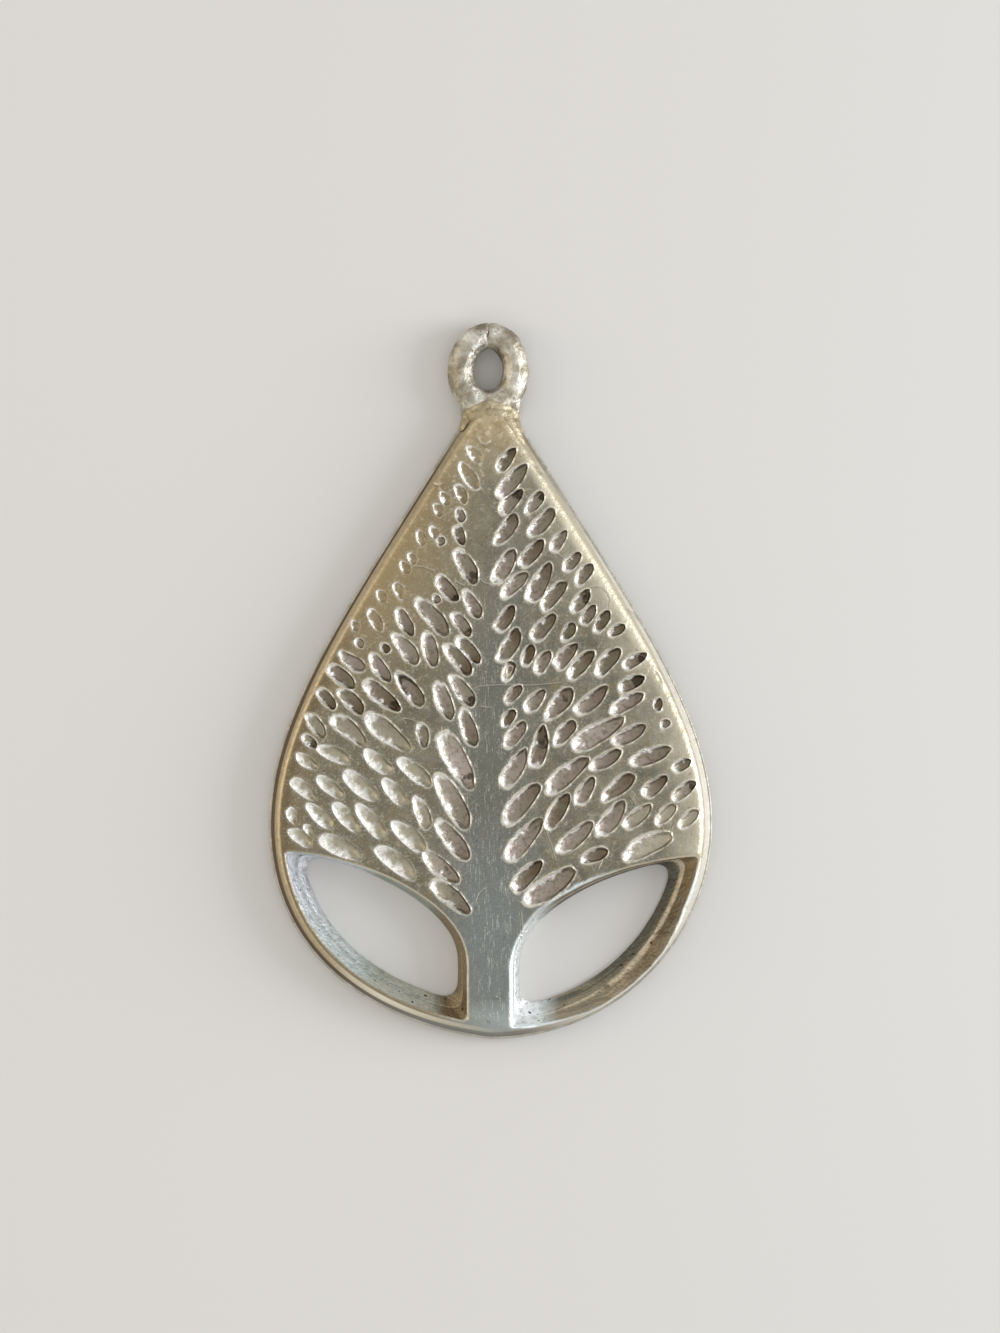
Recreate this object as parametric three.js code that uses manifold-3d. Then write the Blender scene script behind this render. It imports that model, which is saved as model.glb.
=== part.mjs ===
// A tree of life pendant in cast pewter: a carved front layer on a backing plate, with a soldered eye.
// Millimetres. +Z looks out of the carved face, +Y points to the eye, and the back lies on z = 0.
// The origin is under the middle of the whole ornament.
import * as THREE from 'three'
import { mergeVertices } from 'three/addons/utils/BufferGeometryUtils.js'
import Module from 'manifold-3d'

const wasm = await Module()
wasm.setup()

// Outline of the drop. Heights go up from the foot of the trunk.
const widestHalfWidth = 16.1
const widestHeight = 15.6
const bellyAbove = 7.8
const shoulderHalfWidth = 3.37
const shoulderHeight = 42.7
const shoulderSlope = 0.62
const shoulderRun = 11.9
const neckHalfWidth = 2.1
const neckRise = 2.65
const tipLap = 0.85
const tipBluntness = 0.8
const curvePull = 0.33

// The two layers and the film of solder between neighbours.
const backThickness = 1.1
const treeThickness = 1.65
const solderFilm = 0.03
const backEdgeRadius = 0.18
const ledgeWidth = 0.17
const edgeWallHeight = 0.95
const edgeWallDraft = 0.34
const edgeRollWidth = 0.75
const edgeRollMiddle = { across: 0.35, up: 0.65 }
const crownRise = 0.25
const flatMiddle = 0.5
const crownRing = 0.74

// The openings between the trunk and the rim, from the front edge in to where the light comes through.
const boughDraft = 0.2
const trunkDraft = 0.7
const frontCornerRadius = 0.35
const throughCornerRadius = 1.6
const jointShare = 0.5
const jointLip = 0.05
const throughHeight = 0.3

// The carved leaves.
const longestLeaf = 5
const leafWidthBase = 0.52
const leafWidthGrowth = 0.27
const leafDepth = 0.62
const shallowShare = 0.55
const leafFloorShare = 0.66

// The eye: an oval of round wire, its foot on the neck.
const wireDiameter = 1.95
const eyeHoleWidth = 2.03
const eyeHoleHeight = 3.2
const eyeSink = 0.4
const eyeLift = 0.2
const eyeOffset = -0.16
const footHeight = 1.35
const footShoulder = 0.95
const footFlare = 0.17
const footThickness = 1.75
const seamWidth = 0.26
const filletLength = 2.3
const filletWidth = 1.15
const filletRise = 0.85

// What differs from side to side. direction is -1 on the left.
const leftSide = {
  direction: -1, footReach: 8.1, footRise: 1.0, bellyBelow: 9.9,
  rimWidth: 1.05, throughInset: 2.25, throughWiden: 0,
  trunkHalfWidth: 1.7, trunkHeight: 5.8, trunkFlare: 3.8, boughHeight: 13.75, boughReach: 7.1,
}
const rightSide = {
  direction: 1, footReach: 9.3, footRise: 0, bellyBelow: 8.2,
  rimWidth: 0.62, throughInset: 2.12, throughWiden: 0.9,
  trunkHalfWidth: 1.4, trunkHeight: 5.5, trunkFlare: 4, boughHeight: 13.35, boughReach: 7.3,
}

// Leaves by row, from the tip down and from the trunk out. Each is [percent of the way across to the rim,
// thousandths of the way up to the tip, percent of the longest leaf's length, degrees of lean outwards].
const leftLeaves = [
  [[34, 918, 33, 40]],
  [[36, 885, 51, 35]],
  [[40, 856, 33, 25], [60, 849, 27, 25]],
  [[35, 823, 24, 15], [63, 831, 24, 25]],
  [[31, 791, 33, 20], [49, 783, 18, 25], [58, 796, 24, 25], [69, 787, 27, 25]],
  [[21, 743, 63, 30], [69, 755, 21, 30], [72, 741, 24, 30]],
  [[13, 683, 48, 30], [33, 708, 51, 40], [39, 691, 15, 30], [69, 705, 30, 30], [80, 696, 24, 30]],
  [[19, 652, 45, 40], [39, 663, 72, 40], [56, 655, 48, 30], [76, 658, 39, 30], [88, 650, 21, 30]],
  [[13, 611, 54, 40], [19, 597, 60, 40], [36, 612, 57, 15], [51, 614, 60, 40], [63, 614, 18, 40],
    [62, 583, 51, 35], [80, 622, 18, 40], [80, 594, 48, 55]],
  [[15, 548, 60, 35], [24, 531, 63, 20], [43, 550, 66, 40], [57, 540, 69, 50], [72, 531, 54, 45],
    [82, 569, 54, 50], [85, 534, 39, 40]],
  [[11, 490, 60, 20], [33, 478, 39, 10], [50, 482, 88, 50], [69, 485, 69, 50], [86, 493, 45, 35],
    [87, 468, 30, 50]],
  [[16, 438, 100, 30], [35, 420, 66, 50], [53, 437, 57, 50], [74, 448, 57, 65], [86, 437, 39, 55]],
  [[17, 374, 94, 30], [31, 357, 54, 20], [44, 390, 54, 40], [59, 398, 72, 50], [73, 396, 51, 50],
    [85, 393, 51, 50]],
  [[17, 314, 75, 40], [37, 319, 72, 50], [54, 343, 69, 40], [65, 349, 60, 40], [77, 352, 57, 50],
    [89, 351, 30, 30], [82, 330, 21, 40], [86, 318, 45, 55]],
  [[23, 272, 72, 50], [43, 278, 79, 50], [68, 302, 75, 65]],
  [[19, 225, 75, 50]],
]
const rightLeaves = [
  [[30, 909, 45, 35]],
  [[33, 876, 66, 40]],
  [[26, 843, 51, 40], [55, 841, 42, 40]],
  [[16, 799, 57, 35], [55, 810, 57, 45], [66, 782, 39, 35]],
  [[11, 741, 63, 30], [37, 763, 54, 40], [70, 749, 39, 40], [75, 729, 42, 35]],
  [[18, 713, 54, 45], [38, 716, 69, 30], [46, 696, 57, 40], [64, 688, 45, 40], [66, 666, 36, 35],
    [73, 655, 39, 30], [80, 642, 30, 55]],
  [[10, 661, 48, 35], [34, 647, 54, 40], [49, 639, 33, 30]],
  [[11, 617, 60, 30], [22, 603, 36, 20], [30, 592, 42, 30], [44, 602, 51, 40], [51, 587, 57, 40],
    [67, 592, 57, 40], [83, 595, 41, 60]],
  [[10, 578, 33, 20], [76, 559, 45, 60]],
  [[12, 542, 36, 40], [23, 532, 45, 40], [35, 526, 66, 40], [52, 532, 63, 50], [70, 528, 57, 60],
    [86, 526, 21, 0]],
  [[9, 504, 33, 35], [12, 479, 51, 40], [23, 459, 66, 15], [36, 481, 51, 40], [52, 481, 91, 60],
    [67, 478, 57, 60], [86, 495, 18, 50]],
  [[11, 426, 69, 30], [35, 415, 82, 50], [54, 440, 54, 60], [75, 445, 66, 70], [89, 431, 33, 60]],
  [[43, 390, 51, 30], [58, 396, 63, 50], [75, 398, 48, 50], [88, 391, 45, 50]],
  [[14, 371, 82, 40], [30, 357, 63, 30], [54, 347, 69, 40], [66, 351, 54, 50], [79, 354, 42, 45],
    [89, 347, 39, 45]],
  [[15, 314, 82, 40], [38, 318, 69, 50], [47, 289, 45, 70], [71, 305, 85, 65]],
  [[17, 258, 63, 45], [28, 242, 94, 55]],
]

// How finely curves are divided.
const bellySteps = 16
const tipSteps = 6
const boughSteps = 14
const cornerSteps = 4
const wireSides = 14
const wireSteps = 36
const passThrough = 0.4

// Sizes that follow from the ones above.
const treeBase = backThickness + solderFilm
const treeTop = treeBase + treeThickness
const neckHeight = shoulderHeight + neckRise
const tipHeight = neckHeight + tipLap
const wireRadius = wireDiameter / 2
const eyeHeight = neckHeight - eyeSink + wireDiameter + eyeHoleHeight / 2
const overallHeight = eyeHeight + eyeHoleHeight / 2 + wireDiameter

const flat = (x, y) => new THREE.Vector2(x, y)

// Flat curves and outlines

// One side of the drop from the foot of the trunk to the shoulder, drawn with x to the outside.
function sideCurve(side) {
  const widest = flat(widestHalfWidth, widestHeight)
  const shoulder = flat(shoulderHalfWidth, shoulderHeight)
  const lower = new THREE.CubicBezierCurve(
    flat(0, 0), flat(side.footReach, side.footRise), flat(widest.x, widest.y - side.bellyBelow), widest)
  const upper = new THREE.CubicBezierCurve(
    widest, flat(widest.x, widest.y + bellyAbove),
    flat(shoulder.x + shoulderSlope * shoulderRun, shoulder.y - shoulderRun), shoulder)
  return [...lower.getSpacedPoints(bellySteps), ...upper.getSpacedPoints(bellySteps).slice(1)]
}

// The concave neck that the backing narrows to, from the shoulder to the foot of the eye.
function neckCurve() {
  const pull = neckRise * curvePull
  const neck = new THREE.CubicBezierCurve(
    flat(shoulderHalfWidth, shoulderHeight),
    flat(shoulderHalfWidth - shoulderSlope * pull, shoulderHeight + pull),
    flat(neckHalfWidth, neckHeight - pull), flat(neckHalfWidth, neckHeight))
  return neck.getSpacedPoints(tipSteps).slice(1)
}

// The blunt tip of the front layer, from the shoulder to the middle line.
function tipCurve() {
  const pull = (tipHeight - shoulderHeight) * (1 - curvePull)
  const tip = new THREE.CubicBezierCurve(
    flat(shoulderHalfWidth, shoulderHeight),
    flat(shoulderHalfWidth - shoulderSlope * pull, shoulderHeight + pull),
    flat(tipBluntness, tipHeight), flat(0, tipHeight))
  return tip.getSpacedPoints(tipSteps * 2).slice(1)
}

// A whole outline, anticlockwise from the foot, from what closes each side at the top.
function outline(topCurve) {
  const right = [...sideCurve(rightSide), ...topCurve]
  const left = [...sideCurve(leftSide), ...topCurve].map((p) => flat(-p.x, p.y)).reverse()
  const all = [...right, ...left]
  return all.filter((p, i) => p.distanceTo(all[(i + 1) % all.length]) > 1e-6)
}

// Each point moved inwards, square to its neighbours. A closed outline wraps round. On an open run,
// endDistance lets the distance change steadily from the first point to the last.
function inset(points, distance, closed = true, endDistance = distance) {
  const last = points.length - 1
  return points.map((p, i) => {
    const before = points[i > 0 ? i - 1 : closed ? last : 0]
    const after = points[i < last ? i + 1 : closed ? 0 : last]
    const along = after.clone().sub(before).normalize()
    const move = THREE.MathUtils.lerp(distance, endDistance, i / last)
    return flat(p.x - along.y * move, p.y + along.x * move)
  })
}

function runLengths(points) {
  const lengths = [0]
  for (let i = 1; i < points.length; i++) {
    lengths.push(lengths[i - 1] + points[i].distanceTo(points[i - 1]))
  }
  return lengths
}

// count + 1 points, evenly spaced, between two distances along an open run of points.
function between(points, from, to, count) {
  const lengths = runLengths(points)
  const result = []
  for (let step = 0; step <= count; step++) {
    const target = from + (to - from) * step / count
    let i = 1
    while (i < points.length - 1 && lengths[i] < target) {
      i++
    }
    const share = (target - lengths[i - 1]) / (lengths[i] - lengths[i - 1])
    result.push(points[i - 1].clone().lerp(points[i], share))
  }
  return result
}

// Where two open runs of points cross, with the distance along each.
function crossings(first, second) {
  const firstLengths = runLengths(first)
  const secondLengths = runLengths(second)
  const found = []
  for (let i = 1; i < first.length; i++) {
    const a = first[i].clone().sub(first[i - 1])
    for (let j = 1; j < second.length; j++) {
      const b = second[j].clone().sub(second[j - 1])
      const gap = second[j - 1].clone().sub(first[i - 1])
      const turn = a.cross(b)
      const alongFirst = gap.cross(b) / turn
      const alongSecond = gap.cross(a) / turn
      if (alongFirst >= 0 && alongFirst < 1 && alongSecond >= 0 && alongSecond < 1) {
        found.push({
          point: first[i - 1].clone().addScaledVector(a, alongFirst),
          alongFirst: firstLengths[i - 1] + a.length() * alongFirst,
          alongSecond: secondLengths[j - 1] + b.length() * alongSecond,
        })
      }
    }
  }
  return found
}

// One opening's outline. draft is 0 at the front edge and 1 where the light comes through.
function openingOutline(side, draft) {
  const rimInset = THREE.MathUtils.lerp(side.rimWidth, side.throughInset, draft)
  const rim = inset(sideCurve(side), rimInset, false, rimInset + side.throughWiden * draft)
  const trunkTop = flat(side.trunkHalfWidth, side.trunkHeight)
  const boughEnd = flat(widestHalfWidth, side.boughHeight)
  const bough = new THREE.CubicBezierCurve(
    trunkTop, flat(trunkTop.x, trunkTop.y + side.trunkFlare),
    flat(boughEnd.x - side.boughReach, boughEnd.y), boughEnd)
  const trunkFoot = flat(side.trunkHalfWidth, -1)
  const canopy = inset(
    [trunkFoot, ...bough.getSpacedPoints(bellySteps)], -trunkDraft * draft, false, -boughDraft * draft)
  const [foot, end] = crossings(canopy, rim)
  const radius = THREE.MathUtils.lerp(frontCornerRadius, throughCornerRadius, draft)
  const canopyRun = between(canopy, foot.alongFirst + radius, end.alongFirst - radius, boughSteps)
  const rimRun = between(rim, end.alongSecond - radius, foot.alongSecond + radius, boughSteps)
  const endCorner = new THREE.QuadraticBezierCurve(canopyRun.at(-1), end.point, rimRun[0])
  const footCorner = new THREE.QuadraticBezierCurve(rimRun.at(-1), foot.point, canopyRun[0])
  const clockwise = [
    ...canopyRun, ...endCorner.getPoints(cornerSteps).slice(1, -1),
    ...rimRun, ...footCorner.getPoints(cornerSteps).slice(1, -1),
  ]
  const placed = clockwise.map((p) => flat(side.direction * p.x, p.y))
  return side.direction > 0 ? placed.reverse() : placed
}

// Solids

const atHeight = (points, z) => points.map((p) => new THREE.Vector3(p.x, p.y, z))

function fromPoints(points, index) {
  const geometry = new THREE.BufferGeometry()
  geometry.setAttribute('position', new THREE.Float32BufferAttribute(points.flatMap((p) => p.toArray()), 3))
  geometry.setIndex(index)
  return geometry
}

// A closed solid skinned over rings of equal count, each anticlockwise seen from the front.
function loft(rings) {
  const count = rings[0].length
  const index = []
  for (let ring = 0; ring < rings.length - 1; ring++) {
    for (let i = 0; i < count; i++) {
      const a = ring * count + i
      const b = ring * count + (i + 1) % count
      index.push(a, b, b + count, a, b + count, a + count)
    }
  }
  const top = (rings.length - 1) * count
  for (const [a, b, c] of THREE.ShapeUtils.triangulateShape(rings[0].map((p) => flat(p.x, p.y)), [])) {
    index.push(c, b, a)
  }
  for (const [a, b, c] of THREE.ShapeUtils.triangulateShape(rings.at(-1).map((p) => flat(p.x, p.y)), [])) {
    index.push(top + a, top + b, top + c)
  }
  return fromPoints(rings.flat(), index)
}

function toSolid(geometry) {
  geometry.deleteAttribute('normal')
  geometry.deleteAttribute('uv')
  const merged = mergeVertices(geometry)
  return new wasm.Manifold(new wasm.Mesh({
    numProp: 3,
    vertProperties: new Float32Array(merged.attributes.position.array),
    triVerts: new Uint32Array(merged.index.array),
  }))
}

function toMesh(name, solid, material) {
  const { vertProperties, triVerts } = solid.getMesh()
  const geometry = new THREE.BufferGeometry()
  geometry.setAttribute('position', new THREE.BufferAttribute(vertProperties, 3))
  geometry.setIndex(new THREE.BufferAttribute(triVerts, 1))
  geometry.computeVertexNormals()
  const mesh = new THREE.Mesh(geometry, material)
  mesh.name = name
  return mesh
}

const pewter = (color, roughness) => new THREE.MeshStandardMaterial({ color, roughness, metalness: 1 })

// Backing plate

function makeBackPlate() {
  const edge = outline(neckCurve())
  const plate = toSolid(loft([
    atHeight(inset(edge, backEdgeRadius), 0),
    atHeight(edge, backEdgeRadius),
    atHeight(edge, backThickness - backEdgeRadius / 3),
    atHeight(inset(edge, backEdgeRadius / 3), backThickness),
  ]))
  return [leftSide, rightSide].reduce((solid, side) => {
    const joint = jointShare + jointLip
    return solid.subtract(toSolid(loft([
      atHeight(openingOutline(side, 1), -passThrough),
      atHeight(openingOutline(side, 1), throughHeight),
      atHeight(openingOutline(side, joint), backThickness),
      atHeight(openingOutline(side, joint), backThickness + passThrough),
    ])))
  }, plate)
}

// Carved front layer

// The middle line that the crown of the face runs in to.
const spineFoot = widestHeight / 2
const spineTop = shoulderHeight - shoulderRun / 3
const spineOf = (p) => flat(0, THREE.MathUtils.clamp(p.y, spineFoot, spineTop))

const drawnIn = (points, distance) => points.map((p) => {
  const spine = spineOf(p)
  return p.clone().lerp(spine, distance / p.distanceTo(spine))
})

const sharedIn = (points, share) => points.map((p) => p.clone().lerp(spineOf(p), share))

// The height of the face at a share of the way from the middle line to the rim.
function faceHeight(across) {
  return treeTop - crownRise * Math.max(0, across ** 2 - flatMiddle ** 2) / (1 - flatMiddle ** 2)
}

// The half width of the front layer at a height. Above the shoulder it narrows straight to the tip.
function halfWidthAt(side, height) {
  const points = [...sideCurve(side), flat(0, tipHeight)]
  const above = points.findIndex((p, i) => i > 0 && p.y >= height)
  const low = points[above - 1]
  const high = points[above]
  return THREE.MathUtils.lerp(low.x, high.x, (height - low.y) / (high.y - low.y))
}

// A leaf's outline as shares of its half length and half width: an oval drawn out a little at its ends.
const leafSides = 10
const leafPoint = 1.15
const leafOutline = Array.from({ length: leafSides }, (_, i) => {
  const turn = 2 * Math.PI * i / leafSides
  return [Math.cos(turn), Math.sign(Math.sin(turn)) * Math.abs(Math.sin(turn)) ** leafPoint]
})

function leafCutter(side, [across, up, size, lean]) {
  const share = across / 100
  const height = tipHeight * up / 1000
  const length = longestLeaf * size / 100
  const width = leafWidthBase + leafWidthGrowth * length
  const depth = leafDepth * THREE.MathUtils.lerp(shallowShare, 1, size / 100)
  const middle = flat(side.direction * share * halfWidthAt(side, height), height)
  const angle = Math.PI / 2 - side.direction * THREE.MathUtils.degToRad(lean)
  const ring = (scale, z) => atHeight(leafOutline.map(([along, out]) => (
    flat(along * length / 2 * scale, out * width / 2 * scale).rotateAround(flat(0, 0), angle).add(middle)
  )), z)
  const face = faceHeight(share)
  const wallSlope = (1 - leafFloorShare) / depth
  return toSolid(loft([
    ring(leafFloorShare, face - depth),
    ring(1, face),
    ring(1 + wallSlope * passThrough, face + passThrough),
  ]))
}

// The front layer before it is carved: a drafted wall, a rounded front edge and a crowned face.
function treeBlank(growth, base, top) {
  const edge = inset(outline(tipCurve()), ledgeWidth - growth)
  const wallTop = treeBase + edgeWallHeight
  const rollTop = faceHeight(1)
  const rollMiddle = THREE.MathUtils.lerp(wallTop, rollTop, edgeRollMiddle.up)
  return toSolid(loft([
    atHeight(edge, base),
    atHeight(drawnIn(edge, edgeWallDraft), wallTop),
    atHeight(drawnIn(edge, edgeWallDraft + edgeRollWidth * edgeRollMiddle.across), rollMiddle),
    atHeight(drawnIn(edge, edgeWallDraft + edgeRollWidth), rollTop),
    atHeight(sharedIn(edge, 1 - crownRing), faceHeight(crownRing)),
    atHeight(sharedIn(edge, 1 - flatMiddle), top),
  ]))
}

function makeTreePlate() {
  const openings = [leftSide, rightSide].map((side) => toSolid(loft([
    atHeight(openingOutline(side, jointShare), treeBase - passThrough),
    atHeight(openingOutline(side, jointShare), treeBase),
    atHeight(openingOutline(side, 0), treeTop - crownRise),
    atHeight(openingOutline(side, 0), treeTop + passThrough),
  ])))
  const leaves = [
    ...leftLeaves.flat().map((leaf) => leafCutter(leftSide, leaf)),
    ...rightLeaves.flat().map((leaf) => leafCutter(rightSide, leaf)),
  ]
  return [...openings, ...leaves].reduce(
    (solid, cutter) => solid.subtract(cutter), treeBlank(0, treeBase, treeTop))
}

// Eye

const eyeMiddle = new THREE.Vector3(eyeOffset, eyeHeight, eyeLift + wireRadius)

// The wire's middle line: an oval that starts and ends at the top, turned by a share of its way round.
class OvalWire extends THREE.Curve {
  getPoint(share, target = new THREE.Vector3()) {
    const angle = Math.PI / 2 + share * 2 * Math.PI
    return target.set(
      (eyeHoleWidth + wireDiameter) / 2 * Math.cos(angle),
      (eyeHoleHeight + wireDiameter) / 2 * Math.sin(angle), 0).add(eyeMiddle)
  }
}

function closedWire(radius) {
  const path = new OvalWire()
  const points = []
  for (let step = 0; step < wireSteps; step++) {
    const middle = path.getPoint(step / wireSteps)
    const along = path.getTangent(step / wireSteps)
    const out = new THREE.Vector3(along.y, -along.x, 0)
    for (let side = 0; side < wireSides; side++) {
      const turn = 2 * Math.PI * side / wireSides
      const rise = new THREE.Vector3(0, 0, radius * Math.sin(turn))
      points.push(middle.clone().addScaledVector(out, radius * Math.cos(turn)).add(rise))
    }
  }
  const index = []
  for (let step = 0; step < wireSteps; step++) {
    for (let side = 0; side < wireSides; side++) {
      const next = (side + 1) % wireSides
      const after = (step + 1) % wireSteps
      const a = step * wireSides + side
      const b = step * wireSides + next
      const c = after * wireSides + next
      const d = after * wireSides + side
      index.push(a, c, b, a, d, c)
    }
  }
  return toSolid(fromPoints(points, index))
}

// The seam is a wedge, wide at the crest of the wire and narrow at the hole.
function seamWedge(shrink) {
  const hole = eyeHeight + eyeHoleHeight / 2
  const wide = seamWidth - shrink
  const narrow = seamWidth / 2 - shrink
  const wedge = [
    flat(eyeOffset - narrow, hole - passThrough), flat(eyeOffset + narrow, hole - passThrough),
    flat(eyeOffset + wide, overallHeight + passThrough), flat(eyeOffset - wide, overallHeight + passThrough),
  ]
  return toSolid(loft([
    atHeight(wedge, eyeLift - passThrough), atHeight(wedge, eyeLift + wireDiameter + passThrough),
  ]))
}

// The flared foot that joins both legs of the eye and stands on the neck.
function eyeFoot() {
  const base = neckHeight + solderFilm
  const legHalfWidth = neckHalfWidth + footFlare
  const foot = [
    flat(-neckHalfWidth, base), flat(neckHalfWidth, base),
    flat(legHalfWidth, base + footShoulder), flat(legHalfWidth / 2, base + footHeight),
    flat(-legHalfWidth / 2, base + footHeight), flat(-legHalfWidth, base + footShoulder),
  ]
  const chamfer = footThickness / 4
  return toSolid(loft([
    atHeight(inset(foot, chamfer), eyeLift),
    atHeight(foot, eyeLift + chamfer),
    atHeight(foot, eyeLift + footThickness - chamfer),
    atHeight(inset(foot, chamfer), eyeLift + footThickness),
  ]))
}

// All that lies lower than the top of the neck.
function belowNeck() {
  const reach = widestHalfWidth
  const top = neckHeight + solderFilm
  const slab = [flat(-reach, 0), flat(reach, 0), flat(reach, top), flat(-reach, top)]
  return toSolid(loft([atHeight(slab, -passThrough), atHeight(slab, treeTop + passThrough)]))
}

function makeEye() {
  return closedWire(wireRadius).add(eyeFoot())
    .subtract(belowNeck())
    .subtract(treeBlank(solderFilm, treeBase - solderFilm, treeTop + solderFilm))
    .subtract(seamWedge(0))
}

function makeSeamSolder() {
  return closedWire(wireRadius - solderFilm).intersect(seamWedge(solderFilm))
}

// A fillet of solder on each side of the tip, in the angle between the neck and the front layer.
function makeNeckSolder(direction) {
  const ball = new THREE.SphereGeometry(1, 16, 10)
  ball.scale(filletWidth / 2, filletLength / 2, filletRise)
  ball.translate(
    direction * (neckHalfWidth - filletWidth / 3), neckHeight - filletLength / 2 + solderFilm, backThickness)
  const backing = new THREE.BoxGeometry(widestHalfWidth, widestHalfWidth, backThickness + solderFilm)
  backing.translate(0, neckHeight, (backThickness + solderFilm) / 2)
  return toSolid(ball)
    .subtract(toSolid(backing))
    .subtract(treeBlank(solderFilm, treeBase - solderFilm, treeTop + solderFilm))
}

const pendant = new THREE.Group()
pendant.position.y = -overallHeight / 2
pendant.add(
  toMesh('tree_plate', makeTreePlate(), pewter(0x8f8b7c, 0.42)),
  toMesh('back_plate', makeBackPlate(), pewter(0x9a958a, 0.45)),
  toMesh('hanging_eye', makeEye(), pewter(0xaaa391, 0.38)),
  toMesh('neck_solder_left', makeNeckSolder(-1), pewter(0xb4a888, 0.5)),
  toMesh('neck_solder_right', makeNeckSolder(1), pewter(0xb4a888, 0.5)),
  toMesh('eye_seam_solder', makeSeamSolder(), pewter(0xc8c2b4, 0.5)),
)

export default pendant
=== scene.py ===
# %% [markdown]
# # A tree of life pendant in cast pewter
# The pendant is a drop-shaped ornament about 52 mm long. A carved front layer lies on a thin backing
# plate, and an eye of thick wire stands on the neck. The measured model gives the sizes and the main
# forms. This lesson adds what the caster and the carver left on the metal: scooped leaves with a raised
# burr, a rolled edge, worn places, tarnish and scratches.

# %% Load the measured model
import math

import bmesh
import bpy
import numpy as np
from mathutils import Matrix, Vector, geometry, kdtree, noise


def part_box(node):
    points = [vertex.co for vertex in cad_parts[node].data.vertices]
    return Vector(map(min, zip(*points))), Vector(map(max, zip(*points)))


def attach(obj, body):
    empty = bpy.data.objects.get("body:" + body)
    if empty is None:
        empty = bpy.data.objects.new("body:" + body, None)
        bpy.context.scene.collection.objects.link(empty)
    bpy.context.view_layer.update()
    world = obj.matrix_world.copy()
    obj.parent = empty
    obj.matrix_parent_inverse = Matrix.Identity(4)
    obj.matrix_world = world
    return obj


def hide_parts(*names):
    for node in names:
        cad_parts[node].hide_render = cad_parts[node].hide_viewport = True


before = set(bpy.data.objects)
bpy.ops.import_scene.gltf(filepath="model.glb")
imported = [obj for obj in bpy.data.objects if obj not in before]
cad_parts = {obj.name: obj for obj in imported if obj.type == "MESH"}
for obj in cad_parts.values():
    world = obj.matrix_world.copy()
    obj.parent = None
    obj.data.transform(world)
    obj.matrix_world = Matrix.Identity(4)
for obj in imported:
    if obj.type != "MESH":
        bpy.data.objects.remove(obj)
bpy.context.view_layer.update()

# %% [markdown]
# Shapes this small are easier to think about in millimetres. Each new piece is made in millimetres and
# shrunk a thousand times at the end, so that its object sits unscaled at the origin.

# %% Helpers for selecting, copying and finishing
MM = 0.001
HAIR = 0.02


def take_up(piece):
    """Selects one piece and nothing else."""
    bpy.ops.object.select_all(action="DESELECT")
    piece.select_set(True)
    bpy.context.view_layer.objects.active = piece


def merged(node):
    """A mesh in millimetres with the corners of a measured node merged, for reading or for shaping."""
    shape = bmesh.new()
    shape.from_mesh(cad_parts[node].data)
    bmesh.ops.scale(shape, vec=(1 / MM,) * 3, verts=shape.verts)
    bmesh.ops.remove_doubles(shape, verts=shape.verts, dist=1e-4)
    shape.normal_update()
    return shape


def in_mm(corners):
    """The two far corners of a box, in millimetres."""
    return [np.array(corner) / MM for corner in corners]


def new_piece(name, shape):
    """An object made of a bmesh, taken up and ready for operators."""
    mesh = bpy.data.meshes.new(name)
    shape.to_mesh(mesh)
    shape.free()
    piece = bpy.data.objects.new(name, mesh)
    bpy.context.collection.objects.link(piece)
    take_up(piece)
    return piece


def finish_piece(piece, smooth_below=40):
    """Shrinks a piece from millimetres to metres and shades it smooth except at sharp edges."""
    take_up(piece)
    piece.scale = (MM,) * 3
    bpy.ops.object.transform_apply(location=True, rotation=True, scale=True)
    bpy.ops.object.shade_smooth_by_angle(angle=math.radians(smooth_below))
    faces = sum(len(face.vertices) - 2 for face in piece.data.polygons)
    print(piece.name, "has", faces, "triangles")


def places_of(piece):
    """The places of a piece's corners."""
    points = np.empty(3 * len(piece.data.vertices))
    piece.data.vertices.foreach_get("co", points)
    return points.reshape(-1, 3)


def store(piece, **marks):
    """Stores numbers on a piece's corners, for its material to read."""
    for name, values in marks.items():
        piece.data.attributes.new(name, "FLOAT", "POINT").data.foreach_set("value", values)


def lumps(points, size, seed, octaves=3):
    """Smooth noise from about -1 to 1 at each point, in lumps of about size millimetres."""
    shift = Vector((seed * 7.3, seed * 3.1, seed * 5.7))
    return np.array([noise.fractal(Vector(p) / size + shift, 1.0, 2.0, octaves) for p in points])


def between(value, low, high):
    """0 up to low, 1 from high on and a straight line between them."""
    return np.clip((value - low) / (high - low), 0, 1)


def bell(value):
    """1 where the value is 0, falling smoothly to 0 on both sides."""
    return np.exp(-value ** 2)


def unit(rows):
    """Each row at a length of 1."""
    return rows / np.linalg.norm(rows, axis=1, keepdims=True)


def flat_tree(points):
    """A search tree over flat points."""
    tree = kdtree.KDTree(len(points))
    for place, point in enumerate(points):
        tree.insert((*point, 0), place)
    tree.balance()
    return tree


def nearest(tree, points):
    """How far each flat point lies from the nearest point of a search tree."""
    return np.array([tree.find((*point, 0))[2] for point in points])


# %% [markdown]
# ## Camera, light and floor
# The photograph looks straight down on the face. Cool light comes in low from the right and a weaker
# warm light from the left, and what is overhead is dimmer. On metal this matters more than paint: the
# flat face shows the dim ceiling, and every slope that leans right catches the lamp.

# %% Camera
VIEW_CENTRE = (0.69, 1.02)
VIEW_HEIGHT = 96.6
LENS = 120
SENSOR = 36
SHARP_HEIGHT = 1.8

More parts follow.
